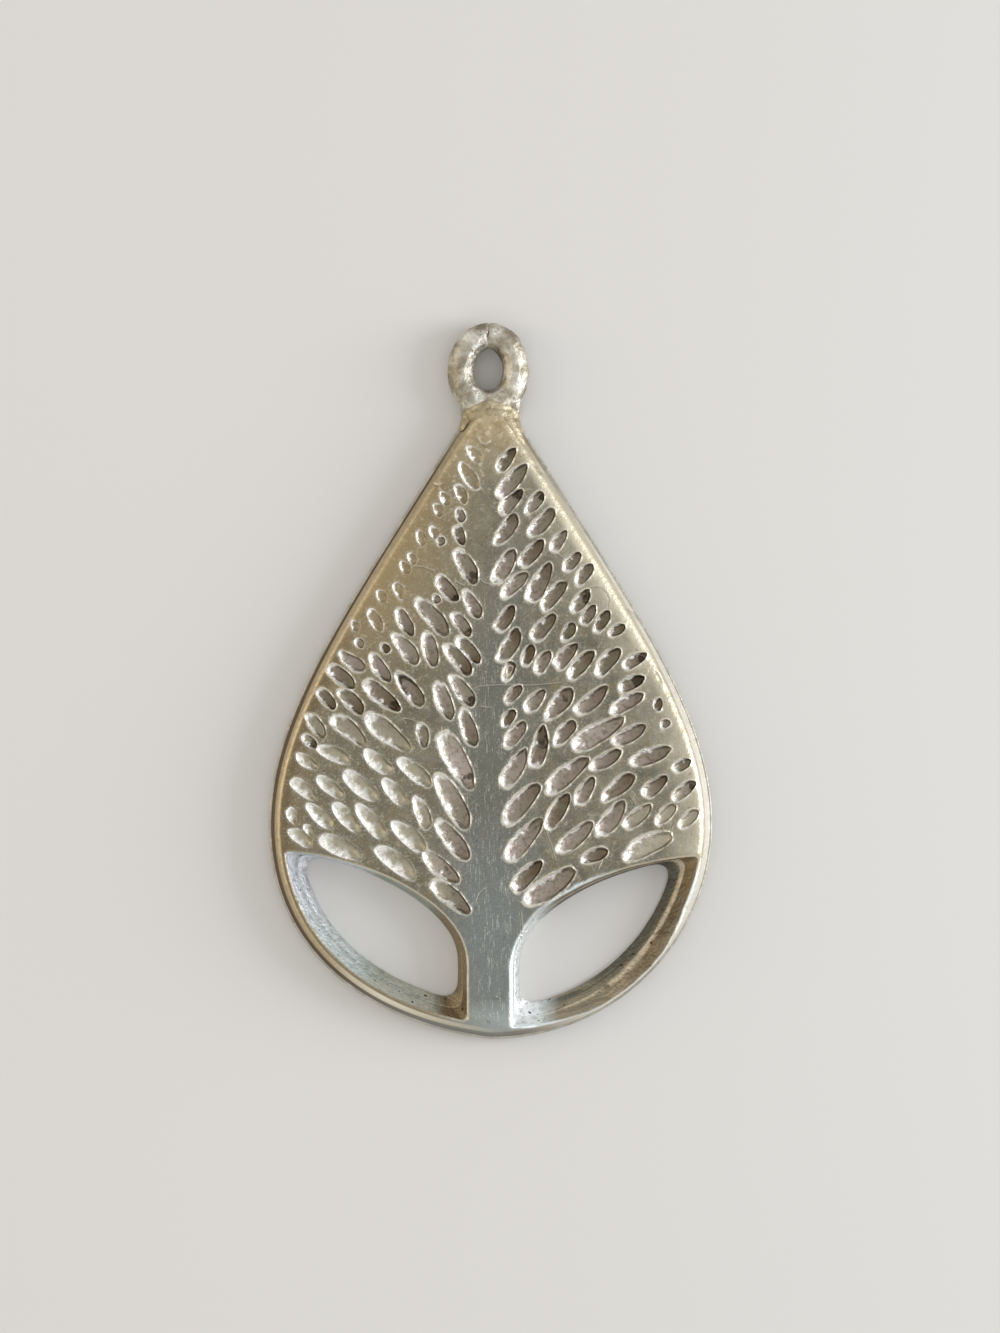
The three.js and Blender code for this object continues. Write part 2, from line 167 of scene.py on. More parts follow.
camera_height = VIEW_HEIGHT * LENS / SENSOR + SHARP_HEIGHT
bpy.ops.object.camera_add(location=[MM * v for v in (*VIEW_CENTRE, camera_height)])
camera = bpy.context.object
camera.data.lens = LENS
camera.data.sensor_width = SENSOR
camera.data.clip_start = 0.01
bpy.context.scene.camera = camera
print("camera stands", round(camera_height), "mm above the table")


# %% Colours and nodes
def colour(written):
    """A linear colour from an sRGB hex such as 0x8F8B7C."""
    parts = [(written >> shift & 255) / 255 for shift in (16, 8, 0)]
    return [p / 12.92 if p <= 0.04045 else ((p + 0.055) / 1.055) ** 2.4 for p in parts] + [1.0]


def add(tree, kind, links=None, **settings):
    """Adds a shader node. settings are its options, and links are its sockets' values or sources."""
    node = tree.nodes.new("ShaderNode" + kind)
    for name, value in settings.items():
        setattr(node, name, value)
    for socket, source in (links or {}).items():
        if isinstance(source, bpy.types.NodeSocket):
            tree.links.new(source, node.inputs[socket])
        else:
            node.inputs[socket].default_value = source
    return node


# %% Lamps and world
def lamp(name, place, size, radiance, tint):
    """A soft lamp aimed at the pendant. radiance is how bright its face is, where 1 is paper white."""
    bpy.ops.object.light_add(type="AREA", location=[MM * v for v in place])
    light = bpy.context.object
    light.name = name
    light.rotation_euler = (-light.location).to_track_quat("-Z", "Y").to_euler()
    light.data.shape = "RECTANGLE"
    light.data.size, light.data.size_y = [MM * v for v in size]
    light.data.energy = radiance * math.pi * light.data.size * light.data.size_y
    light.data.color = colour(tint)[:3]


lamp("right_window", (350, 15, 100), (170, 270), 8.5, 0xF6F9FF)
lamp("left_lamp", (-330, 50, 150), (170, 220), 2.0, 0xFFEBCB)

ROOM_BRIGHTNESS = 0.78
world = bpy.data.worlds.new("dim_room")
bpy.context.scene.world = world
world.use_nodes = True
world.node_tree.nodes["Background"].inputs["Color"].default_value = colour(0xFFFFFF)
world.node_tree.nodes["Background"].inputs["Strength"].default_value = ROOM_BRIGHTNESS
bpy.context.scene.view_settings.view_transform = "Standard"

# %% Floor
bpy.ops.mesh.primitive_plane_add(size=4, location=(0, 0, -0.02 * MM))
floor = bpy.context.object
floor.name = "floor"
paper = bpy.data.materials.new("matt_white_card")
paper.use_nodes = True
paper.node_tree.nodes["Principled BSDF"].inputs["Base Color"].default_value = colour(0xD6D4D0)
paper.node_tree.nodes["Principled BSDF"].inputs["Roughness"].default_value = 0.9
floor.data.materials.append(paper)

# %% [markdown]
# ## Reading the outlines
# The measured solids already hold the drop's outline, the two openings and every leaf. Reading them from
# there keeps this lesson and the model in step. An outline is the run of edges between the faces of one
# patch and the faces round it.


# %% Outlines and smooth curves
SHARP_TURN = 35


def borders(shape, belongs):
    """The closed runs of corners round the faces for which belongs(face) is true, anticlockwise."""
    ahead = {}
    for edge in shape.edges:
        inside = [face for face in edge.link_faces if belongs(face)]
        if len(inside) == 1:
            for loop in inside[0].loops:
                if loop.edge == edge:
                    ahead[loop.vert] = loop.link_loop_next.vert
    runs = []
    while ahead:
        corner, after = ahead.popitem()
        run = [corner]
        while after in ahead:
            run.append(after)
            after = ahead.pop(after)
        points = np.array([corner.co for corner in run])
        x, y, _ = points.T
        area = (x * np.roll(y, -1) - np.roll(x, -1) * y).sum()
        runs.append(points if area > 0 else points[::-1])
    return runs


def smooth_loop(corners, spacing):
    """The same closed outline as evenly spaced points on a smooth curve, still square at sharp corners."""
    ahead = np.roll(corners, -1, 0) - corners
    size = np.linalg.norm(ahead, axis=1, keepdims=True)
    leaving = ahead / size
    arriving = np.roll(leaving, 1, 0)
    turn = np.degrees(np.arccos(np.clip((leaving * arriving).sum(1), -1, 1)))
    shared = unit(leaving + arriving)
    soft = (turn < SHARP_TURN)[:, None]
    start = np.where(soft, shared, leaving) * size
    end = np.roll(np.where(soft, shared, arriving), -1, 0) * size
    following = np.roll(corners, -1, 0)
    steps = [(t, t * t, t ** 3) for t in np.linspace(0, 1, 12, endpoint=False)]
    dense = np.stack([
        corners * (2 * c - 3 * b + 1) + start * (c - 2 * b + t) + following * (3 * b - 2 * c) + end * (c - b)
        for t, b, c in steps], 1).reshape(-1, corners.shape[1])
    return evenly(dense, spacing)


def evenly(points, spacing, closed=True):
    """Points at an even spacing along a closed or an open run."""
    points = np.vstack([points, points[:1]]) if closed else np.array(points)
    run = np.concatenate([[0], np.cumsum(np.linalg.norm(np.diff(points, axis=0), axis=1))])
    count = max(8 if closed else 3, round(run[-1] / spacing))
    wanted = np.linspace(0, run[-1], count, endpoint=not closed)
    return np.stack([np.interp(wanted, run, points[:, axis]) for axis in range(points.shape[1])], 1)


def left_first(runs):
    """Runs sorted from left to right."""
    return sorted(runs, key=lambda run: run[:, 0].mean())


def bearings(run):
    """The directions of some flat steps, as angles."""
    return np.arctan2(run[:, 1], run[:, 0])


def reach_of(loop, centre, wanted):
    """How far a closed run lies from a centre in each of the wanted directions."""
    run = loop - centre
    order = np.argsort(bearings(run))
    away = np.linalg.norm(run, axis=1)
    return np.interp(wanted, bearings(run)[order], away[order], period=2 * math.pi)


def to_the_right(ahead):
    """The flat directions a quarter turn clockwise from the ones ahead, each of length 1."""
    return unit(np.stack([ahead[:, 1], -ahead[:, 0]], 1))


def outwards(points, distance):
    """A closed anticlockwise run of flat points, moved outwards."""
    return points + distance * to_the_right(np.roll(points, -1, 0) - np.roll(points, 1, 0))


# %% Outlines of the carved layer
OUTLINE_SPACING = 0.25
FINE_SPACING = 0.05
plate_shape = merged("tree_plate")
plate_low, plate_high = in_mm(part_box("tree_plate"))
base, top = plate_low[2], plate_high[2]

underside = borders(plate_shape, lambda face: face.normal.z < -0.99)
underside.sort(key=lambda run: (np.ptp(run[:, 0]), len(run)))
joint_outlines = left_first(underside[:2])
outline = smooth_loop(underside[2][:, :2], OUTLINE_SPACING)
outline = np.clip(outline, plate_low[:2], plate_high[:2])
print("outline:", len(outline), "points, openings:", [len(run) for run in joint_outlines])


# %% Front edges of the openings
SOFT_TURN = math.radians(42)
THINNED = 0.42
THICKENED = 0.26


def spread(start, joins):
    """The faces reached from start, from each to its neighbours for which joins(face, neighbour) is true."""
    patch, reach = {start}, [start]
    while reach:
        face = reach.pop()
        for edge in face.edges:
            for other in edge.link_faces:
                if other not in patch and joins(face, other):
                    patch.add(other)
                    reach.append(other)
    return patch


def thin_rim(points):
    """1 at the lower right, where the rim beside the right opening is worn thin, and 0 away from there."""
    return between(points[:, 0], 4, 8) * between(-points[:, 1], 16.5, 19.5)


front_outlines = []
for run in joint_outlines:
    corner = min(plate_shape.verts, key=lambda vert: (vert.co - Vector(run[0])).length)
    wall = next(face for face in corner.link_faces if face.normal.z > -0.9)
    patch = spread(wall, lambda face, other: other.normal.angle(face.normal) < SOFT_TURN)
    front = max(borders(plate_shape, lambda face: face in patch), key=lambda loop: loop[:, 2].mean())
    front_outlines.append(smooth_loop(front[:, :2], OUTLINE_SPACING))

# beside the thin rim the right opening is wider in front than at the joint, and along the trunk narrower
right_front = front_outlines[1]
moved = THINNED * thin_rim(right_front)
moved -= THICKENED * between(right_front[:, 0], 3.6, 2) * between(-right_front[:, 1], 15, 17.5)
front_outlines[1] = right_front + moved[:, None] * (outwards(right_front, 1) - right_front)
print("front edges of the openings:", [len(run) for run in front_outlines], "points")

# %% [markdown]
# Every carved leaf ends in a flat floor in the measured plate. The floor's two far ends give the leaf's
# place, length and lean, and its breadth gives the width. One small leaf more is listed in the same way,
# as its place, half length, half width and lean.

# %% Places and sizes of the leaves
FLOOR_SHARE = 0.66
FLOOR_CORNERS = 10
WIDEST_CORNER = math.sin(math.radians(72)) ** 1.15
EXTRA_LEAF = (-1.49, -1.41, 0.36, 0.26, 1.0)


def floor_islands(shape):
    """The corners of each flat patch that lies between the underside and the face."""
    flat = {face for face in shape.faces
            if face.normal.z > 0.9999 and base + 0.1 < face.calc_center_median().z < top - 0.2}
    while flat:
        island = spread(flat.pop(), lambda face, other: other in flat)
        flat -= island
        corners = {vert for face in island for vert in face.verts}
        if len(corners) == FLOOR_CORNERS:
            yield np.array([corner.co[:2] for corner in corners])


leaves = []
for corners in floor_islands(plate_shape):
    apart = corners[:, None] - corners[None]
    first, second = np.unravel_index((apart ** 2).sum(2).argmax(), (len(corners),) * 2)
    ends = corners[first] - corners[second]
    length = np.linalg.norm(ends)
    along = ends / length * np.sign(ends[1])
    middle = corners.mean(0)
    breadth = np.abs((corners - middle) @ [along[1], -along[0]]).max()
    leaves.append((*middle, length / 2 / FLOOR_SHARE, breadth / FLOOR_SHARE / WIDEST_CORNER,
                   math.atan2(along[1], along[0])))
leaves.sort(key=lambda leaf: (-round(leaf[1], 3), leaf[0]))
leaves.append(EXTRA_LEAF)
leaves = np.array(leaves)
plate_shape.free()
print(len(leaves), "leaves, from", leaves[:, 2].min().round(2), "to", leaves[:, 2].max().round(2),
      "mm in half length")

# %% [markdown]
# ## The carved layer
# A leaf is a scoop pushed into the wax before casting: a wide rough wall on its left, a flat floor, a
# steep wall on its right, and a thin burr where the wax rose round the tool. Modelling 131 of them one by
# one would hide how alike they are, so the face is a height map: one function says how high the metal is
# at any place. The mesh follows the features, with rings of points round every leaf and along every edge,
# because an even grid would spend its points on the plain field and blur the burrs.


# %% Leaf rims
rim_random = np.random.default_rng(11)
RIM_SPACING = 0.12
FLANK_SHIFT = 0.2
FAR_END_SHIFT = 0.3
LEAF_BREADTH = 0.86
LEAF_LENGTH = 0.96


def axis_of(lean):
    """The direction of a leaf's length."""
    return np.array([math.cos(lean), math.sin(lean)])


def rightward(lean):
    """1 if a leaf's length points to the right and -1 if to the left, with a quick change between."""
    return np.clip(2.5 * math.cos(lean), -1, 1)


def leaf_rim(leaf):
    """A leaf's rim as flat points: an oval, blunt where the tool went in and more pointed at its far end."""
    x, y, half_length, half_width, lean = leaf
    turn = np.linspace(0, 2 * math.pi, 96, endpoint=False)
    cos, sin = np.cos(turn), np.sin(turn)
    fuller = rim_random.uniform(-0.25, 0.2)
    pointed = 0.1 * rightward(lean) * cos
    blunt = rim_random.uniform(0.78, 1.04) + 0.06 + pointed
    bow = rim_random.uniform(-0.12, 0.12)
    along = np.sign(cos) * np.abs(cos) ** 0.92
    across = np.sign(sin) * np.abs(sin) ** blunt * (1 + fuller * cos)
    across += bow * (1 - 2 * along ** 2)
    wave = 1 + sum(size * np.sin(turn * count + rim_random.uniform(0, 6))
                   for count, size in ((2, 0.03), (3, 0.03), (5, 0.018), (8, 0.01)))
    along = LEAF_LENGTH * half_length * along * wave
    across = LEAF_BREADTH * half_width * across * wave
    turned = np.stack([x + along * math.cos(lean) - across * math.sin(lean),
                       y + along * math.sin(lean) + across * math.cos(lean)], 1)
    return evenly(turned, RIM_SPACING)


rims = [leaf_rim(leaf) for leaf in leaves]
floors = []
for (x, y, half_length, half_width, lean), rim in zip(leaves, rims):
    shift = half_width * FLANK_SHIFT * np.array([math.sin(lean), -math.cos(lean)])
    floors.append(np.array([x, y]) + shift + rightward(lean) * half_length * FAR_END_SHIFT * axis_of(lean))
print(sum(len(rim) for rim in rims), "points on the rims")

# %% Height of the uncarved face
CROWN = 0.25
FLAT_MIDDLE = 0.5
BURR_ROOM = 0.07
SOFT_MEETING = 0.03
SPINE_LOW, SPINE_HIGH = plate_low[1] + 7.6, plate_low[1] + 38.5
EDGE_STEPS = [0, 0.1, 0.2, 0.3, 0.4, 0.46, 0.53, 0.62, 0.74, 0.9, 1.1, 1.4]
EDGE_RISE = [0, 0.25, 0.5, 0.73, 0.95, 1.07, 1.16, 1.24, 1.31, 1.36, 1.39, 1.42]

edge_tree = flat_tree(outline)


def edge_distance(points):
    """How far each flat point lies from the drop's outline."""
    distance = np.empty(len(points))
    for i, point in enumerate(points):
        near = edge_tree.find((*point, 0))[1]
        best = 1e9
        for other in (near - 1, (near + 1) % len(outline)):
            start, run = outline[near], outline[other] - outline[near]
            share = min(1, max(0, (point - start) @ run / (run @ run)))
            best = min(best, np.hypot(*(point - start - share * run)))
        distance[i] = best
    return distance


def across_share(points):
    """How far each flat point lies from the spine, as a share of the way to the outline."""
    spine = np.stack([np.zeros(len(points)), np.clip(points[:, 1], SPINE_LOW, SPINE_HIGH)], 1)
    run = points - spine
    radius = np.linalg.norm(run, axis=1) + 1e-9
    heading = run / radius[:, None]
    side = np.roll(outline, -1, 0) - outline
    reach = np.empty(len(points))
    for start in range(0, len(points), 2000):
        part = slice(start, start + 2000)
        gap = outline[None] - spine[part, None]
        turn = heading[part, None, 0] * side[None, :, 1] - heading[part, None, 1] * side[None, :, 0]
        turn = np.where(np.abs(turn) < 1e-9, 1e-9, turn)
        along = (gap[..., 0] * side[None, :, 1] - gap[..., 1] * side[None, :, 0]) / turn
        place = (gap[..., 0] * heading[part, None, 1] - gap[..., 1] * heading[part, None, 0]) / turn
        hit = (place >= -1e-6) & (place <= 1 + 1e-6) & (along > 0)
        reach[part] = np.where(hit, along, 1e9).min(1)
    return np.clip(radius / reach, 0, 1)


def face_height(points, from_edge, share):
    """The uncarved face: a drafted wall, a rounded edge and a gentle crown."""
    steeper = 1 + 1.6 * thin_rim(points) + 0.8 * between(points[:, 1], 17.8, 19)
    rolled = base + np.interp(from_edge * steeper, EDGE_STEPS, EDGE_RISE)
    crowned = top - BURR_ROOM - CROWN * np.maximum(0, share ** 2 - FLAT_MIDDLE ** 2) / (1 - FLAT_MIDDLE ** 2)
    mix = np.clip(0.5 + (crowned - rolled) / (2 * SOFT_MEETING), 0, 1)
    return rolled * mix + crowned * (1 - mix) - SOFT_MEETING * mix * (1 - mix)


# %% [markdown]
# The places to sample: on the outline and a few lines inside it, on both openings' front edges and just
# outside them, on the leaf rims, two lines outside each rim for the burr, rings inside it for the walls
# and the floor, and a scatter over the plain field.

# %% Inside and clear of outlines
def inside(points, loop):
    """Which flat points lie inside a closed run of points."""
    x, y = points[:, 0, None], points[:, 1, None]
    x0, y0 = loop[None, :, 0], loop[None, :, 1]
    x1, y1 = np.roll(x0, -1, 1), np.roll(y0, -1, 1)
    straddles = (y0 > y) != (y1 > y)
    crossing = x0 + (y - y0) * (x1 - x0) / np.where(y1 == y0, 1e-12, y1 - y0)
    return (straddles & (x < crossing)).sum(1) % 2 == 1


def clear_of(points, loops, margin):
    """Only the flat points that are not within margin of any loop, nor inside it."""
    for loop in loops:
        near = np.abs(points - loop.mean(0)).max(1) < np.ptp(loop, axis=0).max() / 2 + margin + 1
        where = np.flatnonzero(near)
        if len(where):
            grown = outwards(loop, margin)
            points = np.delete(points, where[inside(points[where], grown)], axis=0)
    return points


# %% Scratches and nicks, each as points, a width and a depth
SCRATCHES = [
    ([(-0.91, -0.47), (0.69, -0.36), (2.86, -0.39), (5.04, -0.21)], 0.04, 0.04),
    ([(3.95, -10.83), (4.38, -11.99), (4.67, -13.00)], 0.05, 0.05),
    ([(2.17, -16.77), (2.25, -17.71), (2.21, -18.87)], 0.05, 0.05),
    ([(-0.98, 17.43), (-0.76, 17.07), (-0.33, 16.92), (0.04, 17.14)], 0.11, 0.09),
    ([(4.53, 9.24), (4.89, 9.10), (5.25, 8.81)], 0.05, 0.04),
    ([(7.57, 6.78), (8.01, 6.71), (8.37, 6.35), (8.59, 5.84), (8.51, 5.26)], 0.06, 0.04),
    ([(-0.76, 7.29), (-0.47, 7.00), (-0.11, 6.92)], 0.06, 0.05),
    ([(-2.43, 7.07), (-2.21, 6.92), (-1.99, 6.85)], 0.06, 0.04),
    ([(-5.40, 8.23), (-4.82, 8.16), (-4.24, 7.94)], 0.05, 0.04),
    ([(-6.20, -2.79), (-5.76, -2.86), (-5.25, -3.08)], 0.05, 0.04),
    ([(-9.38, -0.83), (-9.17, -0.90), (-8.95, -0.97)], 0.06, 0.05),
    ([(12.28, -10.54), (12.57, -10.97), (12.86, -11.48)], 0.05, 0.05),
    ([(13.15, -10.47), (13.01, -10.97), (12.79, -11.41)], 0.05, 0.05),
    ([(9.96, -8.22), (10.18, -8.58), (10.40, -8.94)], 0.05, 0.05),
    ([(10.25, -8.08), (10.47, -8.44), (10.69, -8.73)], 0.04, 0.04),
    ([(-4.17, 14.24), (-3.80, 14.10), (-3.44, 14.17)], 0.06, 0.05),
    ([(1.05, -1.41), (1.49, -1.84), (1.70, -2.35)], 0.05, 0.04),
    ([(-3.51, -4.23), (-3.44, -3.80), (-3.44, -3.37)], 0.05, 0.05),
    ([(5.47, -8.29), (5.83, -8.73), (6.05, -9.31)], 0.05, 0.04),
    ([(-0.69, -1.92), (-0.33, -1.99), (-0.04, -1.99)], 0.05, 0.03),
    ([(3.30, 15.55), (3.44, 15.26), (3.66, 15.04)], 0.12, 0.10),
    ([(9.96, 5.19), (10.40, 4.90), (10.76, 4.46)], 0.12, 0.10),
    ([(11.92, 0.62), (12.14, 0.33), (12.28, 0.04)], 0.09, 0.07),
    ([(0.69, -14.74), (0.98, -15.18), (1.20, -15.76)], 0.04, 0.03),
    ([(-0.98, -15.90), (-0.76, -15.39), (-0.33, -15.03)], 0.04, 0.03),
    ([(7.93, -13.58), (8.15, -13.15), (8.22, -12.71)], 0.05, 0.04),
    ([(7.21, -13.08), (7.50, -12.79), (7.93, -12.64)], 0.04, 0.04),
]
SCRATCH_STEPS = (-2.6, -1.5, -0.6, 0.6, 1.5, 2.6)
scratch_lines = [evenly(line, 0.07, closed=False) for line, _, _ in SCRATCHES]
scratch_sides = []
scratch_points = []
for line, (_, width, _) in zip(scratch_lines, SCRATCHES):
    sideways = to_the_right(np.gradient(line, axis=0))
    scratch_sides.append(sideways)
    scratch_points += [line + step * width * sideways for step in SCRATCH_STEPS]
print(len(SCRATCHES), "scratches and nicks")

# %% Sample points
INNER_RINGS = [0.94, 0.87, 0.79, 0.71, 0.62, 0.52, 0.41, 0.27]
BURR_RINGS = [0.07, 0.16]
OPENING_RINGS = [0.05, 0.11, 0.18, 0.28, 0.4, 0.54]
FIELD_SPACING = 0.42
ROOM_AT_RIMS = 0.24
ROOM_AT_OPENINGS = 0.6
LEAST_ROOM = 0.03
scatter_random = np.random.default_rng(5)
fixed = [outline, *front_outlines, *rims]
loose = [outwards(outline, -step) for step in EDGE_STEPS[1:]]
for loop in front_outlines:
    loose += [outwards(loop, step) for step in OPENING_RINGS]
lips = [outwards(rim, step) for rim in rims for step in BURR_RINGS]
rows = np.arange(outline[:, 1].min(), outline[:, 1].max(), FIELD_SPACING * 0.87)
scatter = np.array([
    (x + FIELD_SPACING / 2 * (row % 2), y)
    for row, y in enumerate(rows)
    for x in np.arange(outline[:, 0].min(), outline[:, 0].max(), FIELD_SPACING)])
scatter += scatter_random.uniform(-0.08, 0.08, scatter.shape)
scatter = scatter[inside(scatter, outwards(outline, -EDGE_STEPS[-1] - 0.15))]
scatter = clear_of(scatter, rims, ROOM_AT_RIMS)
scatter = clear_of(scatter, front_outlines, ROOM_AT_OPENINGS)
field = np.vstack([scatter, clear_of(np.vstack(lips), rims, LEAST_ROOM)])
loose += scratch_points
edges = clear_of(clear_of(np.vstack(loose), rims, LEAST_ROOM), front_outlines, HAIR)
edges = edges[inside(edges, outwards(outline, -LEAST_ROOM))]
pits = []
for centre, rim in zip(floors, rims):
    for ring, share in enumerate(INNER_RINGS):
        points = centre + share * (rim - centre)
        pits.append(points[ring % 2::2] if share < 0.45 else points)
    pits.append(centre[None])
pits = np.vstack(pits)
print("points: field", len(field), "edges", len(edges), "pits", len(pits))

# %% Triangles that follow the features
corners = np.vstack([*fixed, field, edges, pits])
runs = []
start = 0
for loop in fixed:
    runs += [(start + i, start + (i + 1) % len(loop)) for i in range(len(loop))]
    start += len(loop)
sheet_corners, _, sheet_faces, *_ = geometry.delaunay_2d_cdt(
    [Vector(point) for point in corners], runs, [], 1, 1e-6)
sheet = np.array([tuple(point) for point in sheet_corners])
sheet_faces = np.array(sheet_faces)
centres = sheet[sheet_faces].mean(1)
in_opening = inside(centres, front_outlines[0]) | inside(centres, front_outlines[1])
sheet_faces = sheet_faces[~in_opening]
used = np.unique(sheet_faces)
renumber = np.full(len(sheet), -1)
renumber[used] = np.arange(len(used))
sheet, sheet_faces = sheet[used], renumber[sheet_faces]
print("sheet:", len(sheet), "corners,", len(sheet_faces), "triangles")

# %% [markdown]
# Now the heights. Inside a rim the metal drops along the wall to the floor. Outside it a burr stands up
# and fades. The share of the way from the floor's middle to the rim says where on the wall a point is,
# and because that middle is moved right, the left wall comes out wide and the right one steep.

# %% Uneven ground
sheet_x, sheet_y = sheet.T
from_edge = edge_distance(sheet)
height = face_height(sheet, from_edge, across_share(sheet))
flat_points = np.column_stack([sheet, np.zeros(len(sheet))])
at_tip = between(sheet_y, 13, 17)
height += 0.012 * lumps(flat_points, 2.4, 1) * np.clip(from_edge / 2, 0, 1)
height += (0.014 + 0.022 * at_tip) * lumps(flat_points, 1.1, 21) * np.clip(from_edge / 1.2, 0, 1)
print("uncarved face:", height.min().round(2), "to", height.max().round(2), "mm high")

# %% Heights of the pits
LEAF_DEPTH = 0.17
DEPTH_BY_WIDTH = 0.15
FLOOR_SAG = 0.04
SPOT_DEPTH = 0.12
RINGED, RING_RISE = (1.41, 0.69), 0.13
DOMED, DOME_RISE = (-6.2, -0.47), 0.12
tone_random = np.random.default_rng(23)
depth, wall, tone, dark, burr = np.zeros((5, len(sheet)))
colouring = np.ones(len(sheet))
for leaf, centre, rim in zip(leaves, floors, rims):
    x, y, half_length, half_width, lean = leaf
    # near the upper left edge and at the lower left the leaves are worn: shallow, pale and all wall
    upper_left = between(edge_tree.find((x, y, 0))[2], 3.4, 2.4) * between(y, 1, 4) * (x < 0)
    lower_left = between(-x, 3.5, 6.5) * between(-y, 3, 6)
    worn = max(lower_left, upper_left)
    leaf_tone = 0.22 + 0.25 * max(half_length - 1, -0.15) + 0.3 * worn + tone_random.uniform(-0.3, 0.3)
    deepest = LEAF_DEPTH + DEPTH_BY_WIDTH * half_width + tone_random.uniform(-0.02, 0.03)
    deepest *= (1 - 0.45 * upper_left - 0.15 * lower_left) * min(1, half_width / 0.5)

    near = np.flatnonzero(np.abs(sheet - rim.mean(0)).max(1) < half_length + 0.3)
    near = near[inside(sheet[near], outwards(rim, 0.002))]
    run = sheet[near] - centre
    reach = reach_of(rim, centre, bearings(run))
    share = np.clip(np.linalg.norm(run, axis=1) / reach, 0, 1)

    # entry is 1 where the tool went in, at the left end and upper left side, and -1 at the steep far wall
    far_end = axis_of(lean) * rightward(lean)
    lengthways = -run @ far_end / half_length
    leftways = run @ [-math.sin(lean), math.cos(lean)] / half_width
    entry = (0.85 * lengthways + 0.65 * leftways) / (np.hypot(lengthways, leftways) + 0.05)
    scooped = between(entry, -0.1, 0.75)
    wall_share = 0.3 + 0.33 * scooped + 0.35 * max(lower_left, 0.7 * upper_left)
    drop = np.clip((1 - share) / wall_share, 0, 1)
    shape = deepest * (1 - (1 - drop) ** (1.2 + 0.6 * scooped)) + FLOOR_SAG * (1 - share ** 2)

    # a deeper pit in some floors, painted dark as painted shade, and one leaf with a ring and one with a
    # dome, the dome painted in shade on its upper left side
    spotted = 0.3 - 0.14 * between(y, 0, 5) - 0.2 * worn
    if half_width > 0.36 and tone_random.uniform() < spotted:
        spot = centre + half_length * tone_random.uniform(-0.05, 0.42) * far_end
        size = tone_random.uniform(0.1, 0.1 + 0.42 * half_width)
        ragged = 1 + 0.9 * lumps(flat_points[near], 0.3, 17, 3)
        pit = np.exp(-(ragged * np.linalg.norm(sheet[near] - spot, axis=1) / size) ** 4) * (drop > 0.25)
        shape += SPOT_DEPTH * pit
        dark[near] = np.maximum(dark[near], 0.75 * pit)
    if math.dist((x, y), RINGED) < 0.6:
        ring = bell((share - 0.5) / 0.16)
        shape -= RING_RISE * ring
        burr[near] += 0.9 * ring
    if math.dist((x, y), DOMED) < 0.9:
        shape -= DOME_RISE * bell(share / 0.5)
        dark[near] += bell((share - 0.72) / 0.13) * between(-run[:, 0] + run[:, 1], 0.25, 0.6)

    # what the material reads: a painted highlight on the rough walls at the left end, the floor's tone with
    # painted light along the leaf, lighter toward where the tool went in, and painted shade on the far wall
    inwards = (1 - share) * reach * (1 + 0.7 * lumps(flat_points[near], 0.35, 19, 2))
    white_width = half_width * (0.12 + 0.4 * between(entry, 0, 0.9) ** 1.4) * (1 + 0.9 * lower_left)
    softness = 0.25 + 0.45 * lower_left
    wall_highlight = between(inwards / white_width, 1 + softness, 1 - softness) * between(entry, -0.3, 0.25)
    far_wall = 0.34 * between(drop, 0.9, 0.4) * between(-entry, 0.3, 0.9) * (1 - 0.85 * worn)
    deeper = shape > depth[near]
    depth[near] = np.where(deeper, shape, depth[near])
    wall[near] = np.where(deeper, wall_highlight, wall[near])
    tone[near] = np.where(deeper, leaf_tone + 0.3 * lengthways, tone[near])
    colouring[near] = 1 - 0.8 * upper_left - 0.3 * lower_left
    dark[near] = np.maximum(dark[near], far_wall)
carved = depth > 0.02
print("deepest leaf floor:", depth.max().round(2), "mm")

# %% Burrs, scratches and beads
BURR_WIDTH = 0.075
BURR_RISE = 0.05
BEADS, BEAD_RISE = [(-6.66, -2.67, 0.2), (-5.18, 7.87, 0.16)], 0.06
rim_distance = nearest(flat_tree(np.vstack(rims)), sheet)
uneven = 0.8 + 1.2 * lumps(flat_points, 0.5, 3)
lower_left = between(-sheet_x, 3.5, 6) * between(-sheet_y, 3, 5)
upper_left = between(from_edge, 3.4, 2.4) * between(sheet_y, 1, 4) * (sheet_x < 0)
# the burrs are also pale in the colour: partly polish on the raised metal, partly a painted highlight
rise = bell(rim_distance / BURR_WIDTH) * np.clip(uneven, 0.05, 1.5) * ~carved
rise *= 1 - 0.8 * np.maximum(lower_left, upper_left)
burr += rise
for line, sideways, (_, width, deep) in zip(scratch_lines, scratch_sides, SCRATCHES):
    near = np.flatnonzero(np.abs(sheet - line.mean(0)).max(1) < np.ptp(line, axis=0).max() / 2 + 0.5)
    gap = np.linalg.norm(sheet[near, None] - line[None], axis=2)
    closest = gap.argmin(1)
    thrown = ((sheet[near] - line[closest]) * sideways[closest]).sum(1) < 0
    gap = gap.min(1) / width
    plain = ~carved[near]
    height[near] -= deep * (bell(gap) - 0.5 * thrown * bell(gap - 1.8)) * plain
    burr[near] += 0.45 * bell((gap - 1.5) / 0.7) * plain * thrown
    # the groove is painted darker, as painted shade
    dark[near] += 0.3 * bell(gap) * plain
for x, y, size in BEADS:
    bead = np.exp(-(np.hypot(sheet_x - x, sheet_y - y) / size) ** 4)
    height += BEAD_RISE * bead
    burr += bead
height += BURR_RISE * rise - depth
# the rough walls get real lumps here, and the same mask is their painted highlight in the colour
rough_wall_and_highlight = wall * carved
height += (0.028 * lumps(flat_points, 0.3, 5, 2) + 0.008 * lumps(flat_points, 0.13, 15, 1)) * rough_wall_and_highlight
height += 0.012 * lumps(flat_points, 0.35, 6, 2) * carved
print("burrs and scratches on", int((burr > 0.1).sum()), "corners")
